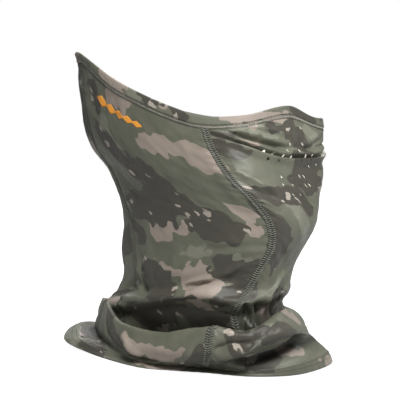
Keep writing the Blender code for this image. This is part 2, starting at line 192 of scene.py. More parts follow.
near_cols = (mu >= -0.9) & (mu <= 8.3)
BP, BD = board(MP[:, near_cols])
NU_, NV_ = np.meshgrid(mu[near_cols], mv)
BFLAT, DFLAT = BP.reshape(-1, 2), BD.reshape(-1)
UFLAT, VFLAT = NU_.reshape(-1), NV_.reshape(-1)


def to_cloth(pts, span=None):
    """Drawing board points to (column, section) of the nearest visible cloth.
    span limits the sections that are looked at."""
    out = []
    for x, y in pts:
        d2 = (BFLAT[:, 0] - x) ** 2 + (BFLAT[:, 1] - y) ** 2
        if span is not None:
            d2 = np.where((VFLAT >= span[0]) & (VFLAT <= span[1]), d2, 1e9)
        best = d2.min()
        ok = d2 <= max(best * 1.5, 1.6)
        score = np.where(ok, DFLAT + 3.0 * np.sqrt(d2), 1e9)
        i = int(score.argmin())
        out.append((UFLAT[i], VFLAT[i]))
    return np.array(out)


def cloth_ab(uv):
    return np.stack([lookup(MA, uv[:, 0], uv[:, 1]), lookup(MB, uv[:, 0], uv[:, 1])], -1)


def dense(pts, gap=5.0):
    out = []
    n = len(pts)
    for i in range(n):
        p, q = np.array(pts[i], float), np.array(pts[(i + 1) % n], float)
        m = max(1, int(np.linalg.norm(q - p) / gap))
        for k in range(m):
            out.append(tuple(p + (q - p) * k / m))
    return out


# ------------------------------------------------------------------ the print
# A generated camouflage: coarse masses of three colours on a mid green, given
# only by centre, reach and turn.  Their edges are broken up by noise here and
# in the material, and the pale flecks come from the material alone.
# (x, y on the drawing board, half length mm, half width mm, turn degrees)
MASS = {
    "dark": [(95, 96, 21, 11, 75), (108, 145, 26, 10, 55), (122, 160, 34, 13, 50), (150, 178, 30, 22, 35),
             (152, 206, 26, 20, 0), (186, 206, 20, 17, 40), (216, 230, 30, 13, 12), (216, 214, 15, 8, 30),
             (138, 232, 14, 10, 60), (157, 280, 22, 17, 40), (152, 306, 32, 7, -8), (232, 270, 26, 13, 10),
             (240, 290, 20, 14, -30), (226, 302, 14, 8, 0), (280, 197, 30, 9, 0), (281, 236, 36, 12, 82),
             (306, 172, 18, 12, -40), (230, 151, 19, 8, 20), (296, 134, 17, 11, 65), (222, 135, 14, 4, 10),
             (274, 128, 14, 3.5, 15), (277, 300, 15, 9, -60), (243, 341, 22, 9, 0), (286, 330, 17, 13, 10),
             (198, 358, 14, 12, 0), (266, 364, 14, 7, 0), (150, 314, 30, 10, 0), (205, 320, 24, 8, 8), (112, 334, 24, 8, 68), (178, 110, 12, 7, 20),
             (150, 96, 12, 8, 20), (303, 116, 16, 8, 30), (92, 352, 14, 8, 30), (240, 354, 14, 6, 10)],
    "taupe": [(116, 100, 12, 9, 15), (164, 147, 29, 9, 12), (202, 158, 20, 15, 15), (243, 213, 23, 7, 25),
              (256, 228, 11, 6, 60), (166, 231, 17, 9, -12), (168, 272, 18, 7, 15), (200, 282, 20, 18, 20),
              (203, 306, 22, 8, 28), (252, 144, 12, 5, 5), (266, 312, 11, 9, -50), (148, 352, 32, 8, 15),
              (291, 352, 13, 8, -20), (319, 185, 8, 5, 80), (112, 73, 15, 9, 45), (256, 117, 33, 7, 0),
              (158, 367, 30, 7, 6), (330, 360, 9, 9, 0), (168, 104, 7, 4, 0), (155, 320, 9, 5, 0)],
    "sage": [(107, 132, 17, 11, 55), (121, 190, 17, 7, 68), (303, 220, 26, 10, 75), (243, 262, 11, 6, 0),
             (262, 340, 12, 9, 20), (232, 364, 20, 6, 0), (262, 132, 20, 5, 10), (86, 66, 12, 7, 60),
             (134, 90, 7, 8, 0), (312, 136, 12, 8, 80), (246, 180, 16, 7, 40), (80, 338, 14, 9, 30), (196, 252, 16, 5, 0)],
}
# the same kind of masses beyond the drawing board, in columns and sections
MASS_FAR = {
    "dark": [(8.2, 6.2, 22, 13, 40), (8.1, 1.8, 18, 9, 10), (8.2, 9.3, 24, 9, 0), (8.3, 14.0, 22, 10, 0)],
    "taupe": [(8.3, 3.8, 20, 11, 30), (8.0, 11.6, 22, 9, 10), (8.7, 7.8, 12, 6, 60)],
    "sage": [(7.8, 5.0, 12, 6, 0), (8.6, 12.6, 14, 7, 0)],
}


def masses():
    """Centre, half sizes and direction of every mass in cloth coordinates."""
    out = {}
    for key, rows in MASS.items():
        out[key] = []
        for x, y, long, wide, turn in rows:
            c, s = math.cos(math.radians(turn)), math.sin(math.radians(turn))
            reach = 0.45 * long
            ends = cloth_ab(to_cloth([(x - c * reach, y - s * reach), (x, y), (x + c * reach, y + s * reach)]))
            d = ends[2] - ends[0]
            size = float(np.linalg.norm(d)) / (2 * reach)
            if not 0.6 < size < 2.2:
                d, size = np.array([c, s]), 1.0
            out[key].append((ends[1], (long * size, wide, math.degrees(math.atan2(d[1], d[0])))))
        out[key] += [(cloth_ab(np.array([[r[0], r[1]]]))[0], r[2:]) for r in MASS_FAR[key]]
    return out


MASSES = masses()


def fold_shade_mask(u, v):
    """Painted shade in the folds, 0 to 1: how far the base colour is darkened in the valley between the neck and the
    cowl, the crease under the bulge and the far flap's hollow.
    """
    def ease(x):
        x = np.clip(x, 0, 1)
        return x * x * (3 - 2 * x)
    um = np.mod(u, U_ALL)
    front = ease((um - 0.1) / 0.8) * ease((7.4 - um) / 0.8)
    valley = front * np.exp(-((v - 11.8) / 0.78) ** 2)
    crease = ease((um - 4.1) / 0.6) * ease((7.9 - um) / 0.6) * np.exp(-((v - 15.12) / 0.34) ** 2)
    flap = ease((um - 12.5) / 0.4) * ease((14.0 - um) / 0.3) * np.exp(-((v - 15.35) / 0.4) ** 2)
    return np.clip(valley + 1.0 * crease + flap, 0, 1)


def print_and_shade_layers(u, v):
    """Height of each colour mass over its edge, about mm, at cloth points, and the painted fold shade layer."""
    u, v = np.asarray(u, float).ravel().copy(), np.asarray(v, float).ravel().copy()
    u = np.where(u < -0.5, u + U_ALL, u)
    pa, pb = lookup(MA, u, v), lookup(MB, u, v)
    # the far rear panel is cut from the same cloth, turned over and shifted
    far = (u > U_SEAM_L) & (u < 13.999)
    across = pa - lookup(MA, np.full(len(v), U_SEAM_L), v)
    pa = np.where(far, 2.0 - (175.0 - np.abs(175.0 - across)), pa)
    pb = np.where(far & (v > 1.0) & (v < 16.0), 12.0 + np.mod(pb - 12.0 + 64.0, 330.0), pb)
    p = np.stack([pa, pb], -1)
    out = {}
    for seed, (key, rows) in enumerate(sorted(MASSES.items())):
        q = p + np.stack([ripple(p, 40 + seed, (34, 15), (3.4, 1.6)), ripple(p, 60 + seed, (30, 14), (3.2, 1.6))], -1)
        field = np.full(len(p), -9.0)
        for centre, (long, wide, turn) in rows:
            c, s = math.cos(math.radians(turn)), math.sin(math.radians(turn))
            d = q - centre
            e = np.hypot((d[:, 0] * c + d[:, 1] * s) / long, (-d[:, 0] * s + d[:, 1] * c) / wide)
            field = np.maximum(field, (1.08 - e) * math.sqrt(long * wide))
        out[key] = np.clip(field, -9, 9)
    # painted shade layer for the folds, carried along with the print masses to the shader
    out["painted_fold_shade"] = fold_shade_mask(u, v)
    return out


# ----------------------------------------------------------------- the folds
# (points on the drawing board, height mm, half width mm); minus is a groove
FOLDS = [
    ([(232, 169), (243, 174), (256, 181), (266, 186), (278, 191)], 2.2, 4.2),
    ([(238, 180), (252, 188), (264, 194), (280, 197)], -1.5, 4.0),
    ([(255, 197), (268, 204), (284, 208)], 0.9, 4.5),
    ([(182, 287), (192, 282), (204, 279), (220, 275)], 2.3, 4.5),
    ([(176, 290), (188, 286), (200, 284), (214, 282)], -1.9, 2.8),
    ([(186, 294), (203, 288), (224, 286), (240, 284)], 1.6, 4.5),
    ([(215, 298), (228, 295), (244, 292)], -1.4, 4.0),
    ([(220, 275), (232, 271), (242, 262)], 1.2, 4.0),
    ([(141, 256), (142, 272), (144, 286), (148, 297)], -2.4, 3.6),
    ([(149, 262), (151, 280), (158, 293)], 1.2, 4.5),
    ([(136, 262), (138, 280), (141, 294)], 1.6, 2.6),
    ([(131, 265), (133, 280), (134, 296)], -1.4, 2.4),
    ([(127, 262), (128, 280), (128, 294)], 1.1, 2.4),
    ([(196, 247), (220, 249), (244, 247), (268, 246)], -0.7, 3.2),
    ([(200, 240), (225, 242), (250, 240)], 0.5, 4.0),
    ([(291, 264), (281, 276), (271, 292), (264, 308), (259, 320)], 2.6, 3.0),
    ([(292, 274), (283, 290), (276, 306), (268, 318)], -2.2, 3.4),
    ([(287, 285), (281, 298), (275, 310)], 1.1, 1.6),
    ([(244, 303), (248, 312), (250, 326)], -4.1, 3.4),
    ([(250, 302), (253, 314), (253, 330)], 2.4, 2.7),
    ([(258, 302), (257, 314), (257, 326)], -4.1, 3.6),
    ([(119, 331), (126, 341), (134, 350), (146, 355)], 2.4, 3.4),
    ([(118, 339), (128, 350), (138, 358), (152, 361), (172, 364)], -2.7, 2.2),
    ([(121, 346), (130, 355), (146, 361), (168, 366)], 1.5, 2.0),
    ([(264, 333), (250, 339), (232, 343), (218, 350), (211, 356)], -4.4, 3.8),
    ([(262, 342), (246, 349), (230, 354), (214, 359)], 2.9, 3.8),
    ([(250, 336), (238, 336), (226, 334)], 1.5, 2.9),
    ([(303, 335), (290, 345), (276, 352), (258, 358), (238, 362), (220, 367)], -5.8, 4.0),
    ([(232, 338), (240, 334), (248, 334)], -1.5, 2.5),
    ([(110, 312), (106, 322), (108, 334), (114, 346)], -2.2, 3.4),
    ([(187, 352), (196, 347), (206, 347)], -1.2, 4.5),
    ([(183, 360), (192, 352), (204, 350)], 1.4, 3.4),
    ([(84, 104), (98, 124), (112, 146)], 0.4, 8.0),
    ([(296, 196), (300, 212), (302, 232), (298, 250)], 0.7, 6.0),
    ([(310, 190), (311, 210), (308, 232)], -0.7, 4.0),
    ([(205, 160), (225, 178), (240, 200)], 0.4, 7.0),
    ([(278, 244), (284, 254), (283, 268)], -1.1, 4.5),
    ([(285, 206), (276, 214), (270, 222)], -0.6, 3.0),
    ([(120, 200), (127, 214), (130, 236)], -0.5, 3.0),
]
NOSE_FOLDS = [
    ([(210, 130), (224, 133), (240, 140), (262, 147), (290, 156)], 1.9, 2.6),
    ([(214, 130), (232, 135), (250, 139), (268, 144), (292, 149)], -1.5, 2.2),
    ([(222, 129), (240, 131), (258, 135), (276, 141), (292, 146)], 1.9, 3.0),
    ([(236, 127), (256, 130), (276, 135), (288, 139)], -0.9, 2.2),
    ([(246, 125.5), (262, 127), (280, 131), (292, 137)], 1.0, 2.4),
    ([(262, 123), (278, 126), (290, 130)], -0.6, 2.0),
    ([(296, 128), (298, 140), (297, 150)], 0.8, 4.0),
    ([(324, 130), (312, 140), (303, 148), (292, 155)], 1.0, 2.6),
    ([(324, 137), (314, 146), (300, 153)], -1.2, 2.0),
]


def fold_lines(folds, span):
    out = []
    for pts, height, half in folds:
        p = np.array(pts, float)
        fine = []
        for i in range(len(p) - 1):
            m = max(1, int(np.linalg.norm(p[i + 1] - p[i]) / 3.0))
            fine += [tuple(p[i] + (p[i + 1] - p[i]) * k / m) for k in range(m)]
        fine.append(tuple(p[-1]))
        out.append((cloth_ab(to_cloth(fine, span)), height, half))
    return out


FOLD_AB = fold_lines(FOLDS, (2.0, 16.0))
NOSE_AB = fold_lines(NOSE_FOLDS, (1.0, 3.1))


# Ledges: the cloth on one side of the line hangs over that on the other.
# (points left to right, or downwards; height, reach above, reach below)
LEDGES = [
    ([(118, 338), (124, 345), (131, 350), (146, 357), (162, 361), (180, 363)], 2.4, (6.0, 5.0)),
    ([(250, 303), (246, 315), (246, 332)], 3.2, (7.0, 5.0)),
    ([(112, 297), (128, 301), (150, 298), (175, 291)], 2.8, (6.0, 8.0)),
]


def ledge_height(lines, ab):
    total = np.zeros(len(ab))
    for line, height, (up, down) in lines:
        best, side, at = np.full(len(ab), 1e9), np.zeros(len(ab)), np.zeros(len(ab))
        seg = np.linalg.norm(np.diff(line, axis=0), axis=1)
        cum = np.concatenate([[0], np.cumsum(seg)])
        for k in range(len(line) - 1):
            d = line[k + 1] - line[k]
            if seg[k] < 1e-6 or seg[k] > 30:
                continue
            t = np.clip(((ab - line[k]) @ d) / (d @ d), 0, 1)
            e = ab - line[k] - t[:, None] * d
            dist = np.hypot(*e.T)
            near = dist < best
            best = np.where(near, dist, best)
            side = np.where(near, (d[1] * e[:, 0] - d[0] * e[:, 1]) / seg[k], side)
            at = np.where(near, (cum[k] + t * seg[k]) / cum[-1], at)
        ends = np.clip(np.minimum(at, 1 - at) / 0.25, 0, 1)
        ends = ends * ends * (3 - 2 * ends)
        over = np.exp(-(best / up) ** 2)
        under = -0.85 * np.exp(-(best / down) ** 2)
        w = 0.5 + 0.5 * np.tanh(side / 1.1)
        total += height * ends * (w * over + (1 - w) * under)
    return total


LEDGE_AB = fold_lines(LEDGES, (2.0, 16.0))


def fold_height(lines, ab):
    """Height of all folds at cloth points, tapering to the ends of each."""
    total = np.zeros(len(ab))
    for line, height, half in lines:
        lo, hi = line.min(0) - 3.2 * half, line.max(0) + 3.2 * half
        idx = np.nonzero((ab[:, 0] > lo[0]) & (ab[:, 0] < hi[0]) & (ab[:, 1] > lo[1]) & (ab[:, 1] < hi[1]))[0]
        if not len(idx):
            continue
        p = ab[idx]
        seg = np.linalg.norm(np.diff(line, axis=0), axis=1)
        cum = np.concatenate([[0], np.cumsum(seg)])
        best = np.full(len(idx), 1e9)
        at = np.zeros(len(idx))
        for k in range(len(line) - 1):
            d = line[k + 1] - line[k]
            if seg[k] < 1e-6 or seg[k] > 30:
                continue
            t = np.clip(((p - line[k]) @ d) / (d @ d), 0, 1)
            dist = np.hypot(*(p - line[k] - t[:, None] * d).T)
            near = dist < best
            best = np.where(near, dist, best)
            at = np.where(near, (cum[k] + t * seg[k]) / cum[-1], at)
        taper = np.clip(np.minimum(at, 1 - at) / 0.28, 0, 1)
        taper = 0.12 + 0.88 * taper * taper * (3 - 2 * taper)
        total[idx] += height * np.exp(-(best / half) ** 2) * taper
    return total


def ripple(ab, seed, sizes, heights):
    """Soft waves: a sum of crossing sines with seeded directions, in mm."""
    rng = np.random.default_rng(seed)
    out = np.zeros(len(ab))
    for size, height in zip(sizes, heights):
        for _ in range(5):
            t = rng.uniform(0, math.pi)
            k = 2 * math.pi / (size * rng.uniform(0.75, 1.35))
            ph = rng.uniform(0, 2 * math.pi)
            ph2 = rng.uniform(0, 2 * math.pi)
            q = ab[:, 0] * math.cos(t) + ab[:, 1] * math.sin(t)
            r = -ab[:, 0] * math.sin(t) + ab[:, 1] * math.cos(t)
            out += height / 2.4 * np.sin(k * q + ph + 0.8 * np.sin(k * 0.45 * r + ph2))
    return out


def seam_pucker(u, v, ab):
    """Short ripples that run out from the sewn lines."""
    out = np.zeros(len(ab))
    for us in (U_SEAM_R, U_SEAM_L, 0.0, 14.0):
        a0 = lookup(MA, np.full(len(v), us), v)
        d = np.abs(ab[:, 0] - a0)
        fade = np.exp(-(d / 11.0) ** 2) * np.clip(d / 3.0, 0, 1)
        out += fade * 0.32 * np.sin(ab[:, 1] * 2 * math.pi / 8.5 + 0.7 * np.sin(ab[:, 1] / 9.0) + us)
    d = lookup(MB, u, v) - lookup(MB, u, np.ones(len(v)))
    out += np.exp(-(d / 7.0) ** 2) * 0.18 * np.sin(ab[:, 0] * 2 * math.pi / 9.5 + np.sin(ab[:, 0] / 13.0))
    return out


def smooth(x):
    x = np.clip(x, 0, 1)
    return x * x * (3 - 2 * x)


def lap_v(u):
    u = np.asarray(u, float)
    x = (u - 5.9) / np.where(u < 5.9, 2.1, 3.1)
    return 1.45 + 1.45 * np.where(np.abs(x) < 1, np.cos(math.pi / 2 * np.clip(x, -1, 1)) ** 2, 0.0)


# ------------------------------------------------------------- mesh building
def make_mesh(name, verts_mm, faces, mats=(), face_mat=None, smooth_shade=True):
    mesh = bpy.data.meshes.new(name)
    verts = (np.asarray(verts_mm, float) + SHIFT) / 1000.0
    faces = np.asarray(faces, np.int64)
    mesh.vertices.add(len(verts))
    mesh.vertices.foreach_set("co", verts.astype(np.float32).ravel())
    mesh.loops.add(faces.size)
    mesh.loops.foreach_set("vertex_index", faces.astype(np.int32).ravel())
    mesh.polygons.add(len(faces))
    mesh.polygons.foreach_set("loop_start", np.arange(0, faces.size, faces.shape[1], dtype=np.int32))
    mesh.polygons.foreach_set("loop_total", np.full(len(faces), faces.shape[1], np.int32))
    for m in mats:
        mesh.materials.append(m)
    if face_mat is not None:
        mesh.polygons.foreach_set("material_index", np.asarray(face_mat, np.int32))
    mesh.update(calc_edges=True)
    mesh.validate()
    if smooth_shade:
        mesh.polygons.foreach_set("use_smooth", np.ones(len(mesh.polygons), bool))
    obj = bpy.data.objects.new(name, mesh)
    bpy.context.scene.collection.objects.link(obj)
    return obj


def add_float(obj, name, values):
    att = obj.data.attributes.new(name, "FLOAT", "POINT")
    att.data.foreach_set("value", np.asarray(values, np.float32))


def add_uv(obj, uv_of_vert):
    layer = obj.data.uv_layers.new(name="Cloth")
    idx = np.zeros(len(obj.data.loops), np.int32)
    obj.data.loops.foreach_get("vertex_index", idx)
    layer.data.foreach_set("uv", np.asarray(uv_of_vert, np.float32)[idx].ravel())


def cloth_piece(name, U, V, kind, lift, mats, holes=None, closed=False, extra=None, thick=CLOTH, adjust=None):
    """A piece of cloth with two faces and a rim, on grids U, V of columns and
    sections.  lift(u, v, ab) is the height over the loft in mm."""
    rows, cols = U.shape
    u, v = U.ravel().copy(), V.ravel().copy()
    span = cols if closed else cols - 1
    r, c = np.meshgrid(np.arange(rows - 1), np.arange(span), indexing="ij")
    a = (r * cols + c).ravel()
    b = (r * cols + (c + 1) % cols).ravel()
    faces = np.stack([a, a + cols, b + cols, b], 1)
    ab = np.stack([lookup(MA, u, v), lookup(MB, u, v)], -1)
    if holes is not None and len(holes):
        centre = ab[faces].mean(1)
        drop = np.zeros(len(faces), bool)
        moved = np.zeros(len(u), bool)
        jac_u = (lookup(MA, u + 0.02, v) - lookup(MA, u - 0.02, v)) / 0.04
        jac_v = (lookup(MB, u, v + 0.02) - lookup(MB, u, v - 0.02)) / 0.04
        for hx, hy, hr in holes:
            hit = np.hypot(centre[:, 0] - hx, centre[:, 1] - hy) < hr * 0.98
            drop |= hit
            ids = np.unique(faces[hit])
            if not len(ids):
                continue
            keep_faces = faces[~hit & (np.hypot(centre[:, 0] - hx, centre[:, 1] - hy) < hr + 4)]
            rim = np.intersect1d(ids, np.unique(keep_faces))
            d = ab[rim] - np.array([hx, hy])
            dist = np.maximum(np.hypot(*d.T), 1e-6)
            new = np.array([hx, hy]) + d * (hr / dist)[:, None]
            delta = new - ab[rim]
            u[rim] += delta[:, 0] / np.maximum(jac_u[rim], 2.0)
            v[rim] += delta[:, 1] / np.maximum(jac_v[rim], 2.0)
            moved[rim] = True
        faces = faces[~drop]
        ab = np.stack([lookup(MA, u, v), lookup(MB, u, v)], -1)
    n, tv, tu = frame_at(u, v)
    base = surf(u, v) + n * lift(u, v, ab)[:, None]
    if adjust is not None:
        base = adjust(base, u, v, n, ab)
    outer, inner = base + n * thick / 2, base - n * thick / 2
    if kind != "hem":
        inner[:, 2] = np.maximum(inner[:, 2], 0.3)
        outer[:, 2] = np.maximum(outer[:, 2], 0.6)
    nv = len(u)
    e = np.concatenate([faces[:, [0, 1]], faces[:, [1, 2]], faces[:, [2, 3]], faces[:, [3, 0]]])
    key = np.minimum(e[:, 0], e[:, 1]) * nv + np.maximum(e[:, 0], e[:, 1])
    uniq, first, count = np.unique(key, return_index=True, return_counts=True)
    rim = e[first[count == 1]]
    # the grid is laid so that its faces point outwards when reversed here
    top = faces[:, ::-1]
    bottom = faces + nv
    wall = np.stack([rim[:, 0], rim[:, 1], rim[:, 1] + nv, rim[:, 0] + nv], 1)
    allf = np.concatenate([top, bottom, wall])
    used = np.unique(allf)
    remap = np.full(2 * nv, -1)
    remap[used] = np.arange(len(used))
    verts = np.concatenate([outer, inner])[used]
    fm = np.concatenate([np.zeros(len(top), int), np.ones(len(bottom), int), np.zeros(len(wall), int)])
    obj = make_mesh(name, verts, remap[allf], mats, fm)
    for k, layer in print_and_shade_layers(u, v).items():
        add_float(obj, k, np.concatenate([layer, layer])[used])
    if extra is not None:
        for k, val in extra(u, v, ab).items():
            add_float(obj, k, np.concatenate([val, val])[used])
    add_uv(obj, np.concatenate([ab, ab])[used] / 100.0)
    return obj


def grid_uv(u0, u1, v_rows, cols, trim=0.0):
    """Columns u0..u1 at each section of v_rows, trimmed by mm at both ends."""
    U, V = [], []
    for v in v_rows:
        w = max(float(lookup(MA, u1, v) - lookup(MA, u0, v)), 5.0)
        t = trim / w * (u1 - u0)
        fine = np.linspace(u0 + t, u1 - t, 240)
        arc = lookup(MA, fine, np.full(240, v))
        U.append(np.interp(np.linspace(arc[0], arc[-1], cols), arc, fine))
        V.append(np.full(cols, v))
    return np.array(U), np.array(V)


def rows_v(v0, v1, u, pitch):
    """Sections spaced about pitch mm apart along column u."""
    fine = np.linspace(v0, v1, 600)
    arc = lookup(MB, np.full(600, float(u)), fine)
    n = max(3, int((arc[-1] - arc[0]) / pitch) + 1)
    return np.interp(np.linspace(arc[0], arc[-1], n), arc, fine)


# ---------------------------------------------------------------- materials
class Graph:
    """Small helper for node trees."""

    def __init__(self, name):
        self.mat = bpy.data.materials.new(name)
        self.mat.use_nodes = True
        self.tree = self.mat.node_tree
        self.bsdf = self.tree.nodes["Principled BSDF"]

    def node(self, kind, **props):
        n = self.tree.nodes.new(kind)
        for k, val in props.items():
            setattr(n, k, val)
        return n

    def link(self, a, b):
        self.tree.links.new(a, b)

    def put(self, socket, value):
        if isinstance(value, bpy.types.NodeSocket):
            self.link(value, socket)
        else:
            socket.default_value = value

    def math(self, op, a, b=None, c=None, clamp=False):
        n = self.node("ShaderNodeMath", operation=op, use_clamp=clamp)
        for i, x in enumerate((a, b, c)):
            if x is not None:
                self.put(n.inputs[i], x)
        return n.outputs[0]

    def ramp(self, x, lo, hi, a=0.0, b=1.0, soft=True):
        n = self.node("ShaderNodeMapRange", interpolation_type="SMOOTHSTEP" if soft else "LINEAR")
        for i, val in enumerate((x, lo, hi, a, b)):
            self.put(n.inputs[i], val)
        return n.outputs[0]

    def mix(self, fac, a, b):
        n = self.node("ShaderNodeMix", data_type="RGBA")
        self.put(n.inputs[0], fac)
        self.put(n.inputs[6], a)
        self.put(n.inputs[7], b)
        return n.outputs[2]

    def uv_mm(self):
        uv = self.node("ShaderNodeUVMap", uv_map="Cloth")
        n = self.node("ShaderNodeVectorMath", operation="SCALE")
        self.link(uv.outputs[0], n.inputs[0])
        n.inputs["Scale"].default_value = 100.0
        return n.outputs[0]

    def attribute(self, name):
        return self.node("ShaderNodeAttribute", attribute_name=name).outputs["Fac"]

    def noise(self, vec, scale, detail=2.0, rough=0.5, distort=0.0, shift=None):
        if shift is not None:
            m = self.node("ShaderNodeVectorMath", operation="ADD")
            self.link(vec, m.inputs[0])
            m.inputs[1].default_value = shift
            vec = m.outputs[0]
        n = self.node("ShaderNodeTexNoise")
        self.link(vec, n.inputs["Vector"])
        n.inputs["Scale"].default_value = scale
        n.inputs["Detail"].default_value = detail
        n.inputs["Roughness"].default_value = rough
        n.inputs["Distortion"].default_value = distort
        return n.outputs[0]


def lin(r, g, b):
    def f(c):
        c /= 255.0
        return c / 12.92 if c <= 0.04045 else ((c + 0.055) / 1.055) ** 2.4
    return (f(r), f(g), f(b), 1.0)


MID_GREEN, SAGE = lin(97, 99, 84), lin(120, 121, 106)
DARK_COL, TAUPE_COL = lin(72, 69, 61), lin(153, 141, 130)
PALE, CREAM = lin(178, 168, 156), lin(188, 182, 170)


def knit_bump(g, vec, strength, wale=0.62, course=0.5, extra=None):
    """Jersey: rows of small chevrons, plus a little fuzz."""
    sep = g.node("ShaderNodeSeparateXYZ")
    g.link(vec, sep.inputs[0])
    x = g.math("DIVIDE", sep.outputs[0], wale)
    col = g.math("ABSOLUTE", g.math("SINE", g.math("MULTIPLY", x, math.pi)))
    tri = g.math("PINGPONG", x, 0.5)
    y = g.math("ADD", g.math("DIVIDE", sep.outputs[1], course), g.math("MULTIPLY", tri, 0.9))
    row = g.math("MULTIPLY_ADD", g.math("SINE", g.math("MULTIPLY", y, 2 * math.pi)), 0.32, 0.5)
    fuzz = g.noise(vec, 2.2, 3.0, 0.7)
    h = g.math("ADD", g.math("MULTIPLY_ADD", col, 0.7, row), g.math("MULTIPLY", fuzz, 0.7))
    if extra is not None:
        h = g.math("ADD", h, extra)
    b = g.node("ShaderNodeBump")
    b.inputs["Strength"].default_value = strength
    b.inputs["Distance"].default_value = 0.00022
    g.link(h, b.inputs["Height"])
    g.link(b.outputs[0], g.bsdf.inputs["Normal"])
    return col


def print_colour(g, vec, flecks=True):
    """Generated camouflage from the coarse masses and noise, darkened by painted shade in the folds."""
    base = g.mix(g.ramp(g.noise(vec, 0.045, 2.0, 0.5), 0.42, 0.6), MID_GREEN, lin(104, 105, 90))
    colour = base
    for name, col, amp, shift in (("sage", SAGE, 6.0, (13.0, 5.0, 0.0)), ("taupe", TAUPE_COL, 6.0, (71.0, 31.0, 0.0)),
                                  ("dark", DARK_COL, 6.5, (37.0, 83.0, 0.0))):
        rough = g.noise(vec, 0.075, 1.6, 0.45, 0.4, shift)
        field = g.math("ADD", g.attribute(name), g.math("MULTIPLY", g.math("SUBTRACT", rough, 0.52), amp * 2.2))
        colour = g.mix(g.ramp(field, -0.22, 0.22), colour, col)
    if flecks:
        warp = g.node("ShaderNodeVectorMath", operation="MULTIPLY_ADD")
        wob = g.node("ShaderNodeTexNoise")
        g.link(vec, wob.inputs["Vector"])
        wob.inputs["Scale"].default_value = 0.16
        g.link(wob.outputs["Color"], warp.inputs[0])
        warp.inputs[1].default_value = (9.0, 9.0, 0.0)
        g.link(vec, warp.inputs[2])
        cluster = g.ramp(g.noise(vec, 0.028, 1.0, 0.5, 0.0, (7.0, 19.0, 0.0)), 0.47, 0.53)
        cluster = g.math("MULTIPLY", cluster, g.ramp(g.attribute("dark"), -3.0, -1.0))
        for turn, sx, sy, keep, size in ((0.5, 0.034, 0.066, 0.55, 0.19), (-0.5, 0.042, 0.084, 0.40, 0.17)):
            m = g.node("ShaderNodeMapping", vector_type="POINT")
            m.inputs["Rotation"].default_value = (0.0, 0.0, turn)
            m.inputs["Scale"].default_value = (sx, sy, 1.0)
            rot = g.node("ShaderNodeVectorRotate", rotation_type="Z_AXIS")
            g.link(warp.outputs[0], rot.inputs["Vector"])
            rot.inputs["Angle"].default_value = turn
            sc = g.node("ShaderNodeVectorMath", operation="MULTIPLY")
            g.link(rot.outputs[0], sc.inputs[0])
            sc.inputs[1].default_value = (sx, sy, 0.0)
            g.tree.nodes.remove(m)
            vo = g.node("ShaderNodeTexVoronoi", voronoi_dimensions="2D")
            g.link(sc.outputs[0], vo.inputs["Vector"])
            vo.inputs["Scale"].default_value = 1.0
            vo.inputs["Randomness"].default_value = 0.9
            pick = g.node("ShaderNodeSeparateColor")
            g.link(vo.outputs["Color"], pick.inputs[0])
            reach = g.math("MULTIPLY", g.math("LESS_THAN", pick.outputs[0], keep), size)
            reach = g.math("MULTIPLY", reach, cluster)
            reach = g.math("MULTIPLY", reach, g.math("MULTIPLY_ADD", pick.outputs[1], 0.7, 0.5))
            inside = g.ramp(g.math("SUBTRACT", reach, vo.outputs["Distance"]), -0.012, 0.012)
            colour = g.mix(g.math("MULTIPLY", inside, 0.85), colour, PALE)
    tone = g.noise(vec, 0.9, 3.0, 0.65)
    shade = g.ramp(tone, 0.25, 0.75, 0.93, 1.06, soft=False)
    # painted shade: the valley, the crease under the bulge and the far flap's hollow are darkened by up to 80
    # percent, whatever the light
    shade = g.math("MULTIPLY", shade, g.math("MULTIPLY_ADD", g.attribute("painted_fold_shade"), -0.8, 1.0))
    n = g.node("ShaderNodeVectorMath", operation="SCALE")
    g.link(colour, n.inputs[0])
    g.link(shade, n.inputs["Scale"])
    return n.outputs[0]


def print_fabric(name, rough=0.38, sheen=0.06, bump=0.35):
    g = Graph(name)
    vec = g.uv_mm()
    colour = print_colour(g, vec)
    col = knit_bump(g, vec, bump)
    # painted shade: the valleys between the wales are a touch darker than their crowns
    wale_valley_shade = g.node("ShaderNodeVectorMath", operation="SCALE")
    g.link(colour, wale_valley_shade.inputs[0])
    g.link(g.math("MULTIPLY_ADD", col, 0.10, 0.935), wale_valley_shade.inputs["Scale"])
    g.link(wale_valley_shade.outputs[0], g.bsdf.inputs["Base Color"])
    r = g.math("MULTIPLY_ADD", g.noise(vec, 0.35, 3.0, 0.6), 0.16, rough - 0.08)
    g.link(r, g.bsdf.inputs["Roughness"])
    g.bsdf.inputs["Specular IOR Level"].default_value = 0.5
    g.bsdf.inputs["Sheen Weight"].default_value = sheen
    g.bsdf.inputs["Sheen Roughness"].default_value = 0.45
    return g.mat


def plain_fabric(name, colour, colour2, rough=0.8, bump=0.3, sheen=0.25):
    g = Graph(name)
    vec = g.uv_mm()
    c = g.mix(g.ramp(g.noise(vec, 0.4, 4.0, 0.65), 0.3, 0.7), colour, colour2)
    g.link(c, g.bsdf.inputs["Base Color"])
    knit_bump(g, vec, bump)
    g.link(g.math("MULTIPLY_ADD", g.noise(vec, 0.5, 3.0, 0.6), 0.14, rough - 0.07), g.bsdf.inputs["Roughness"])
    g.bsdf.inputs["Specular IOR Level"].default_value = 0.3
    g.bsdf.inputs["Sheen Weight"].default_value = sheen
    return g.mat


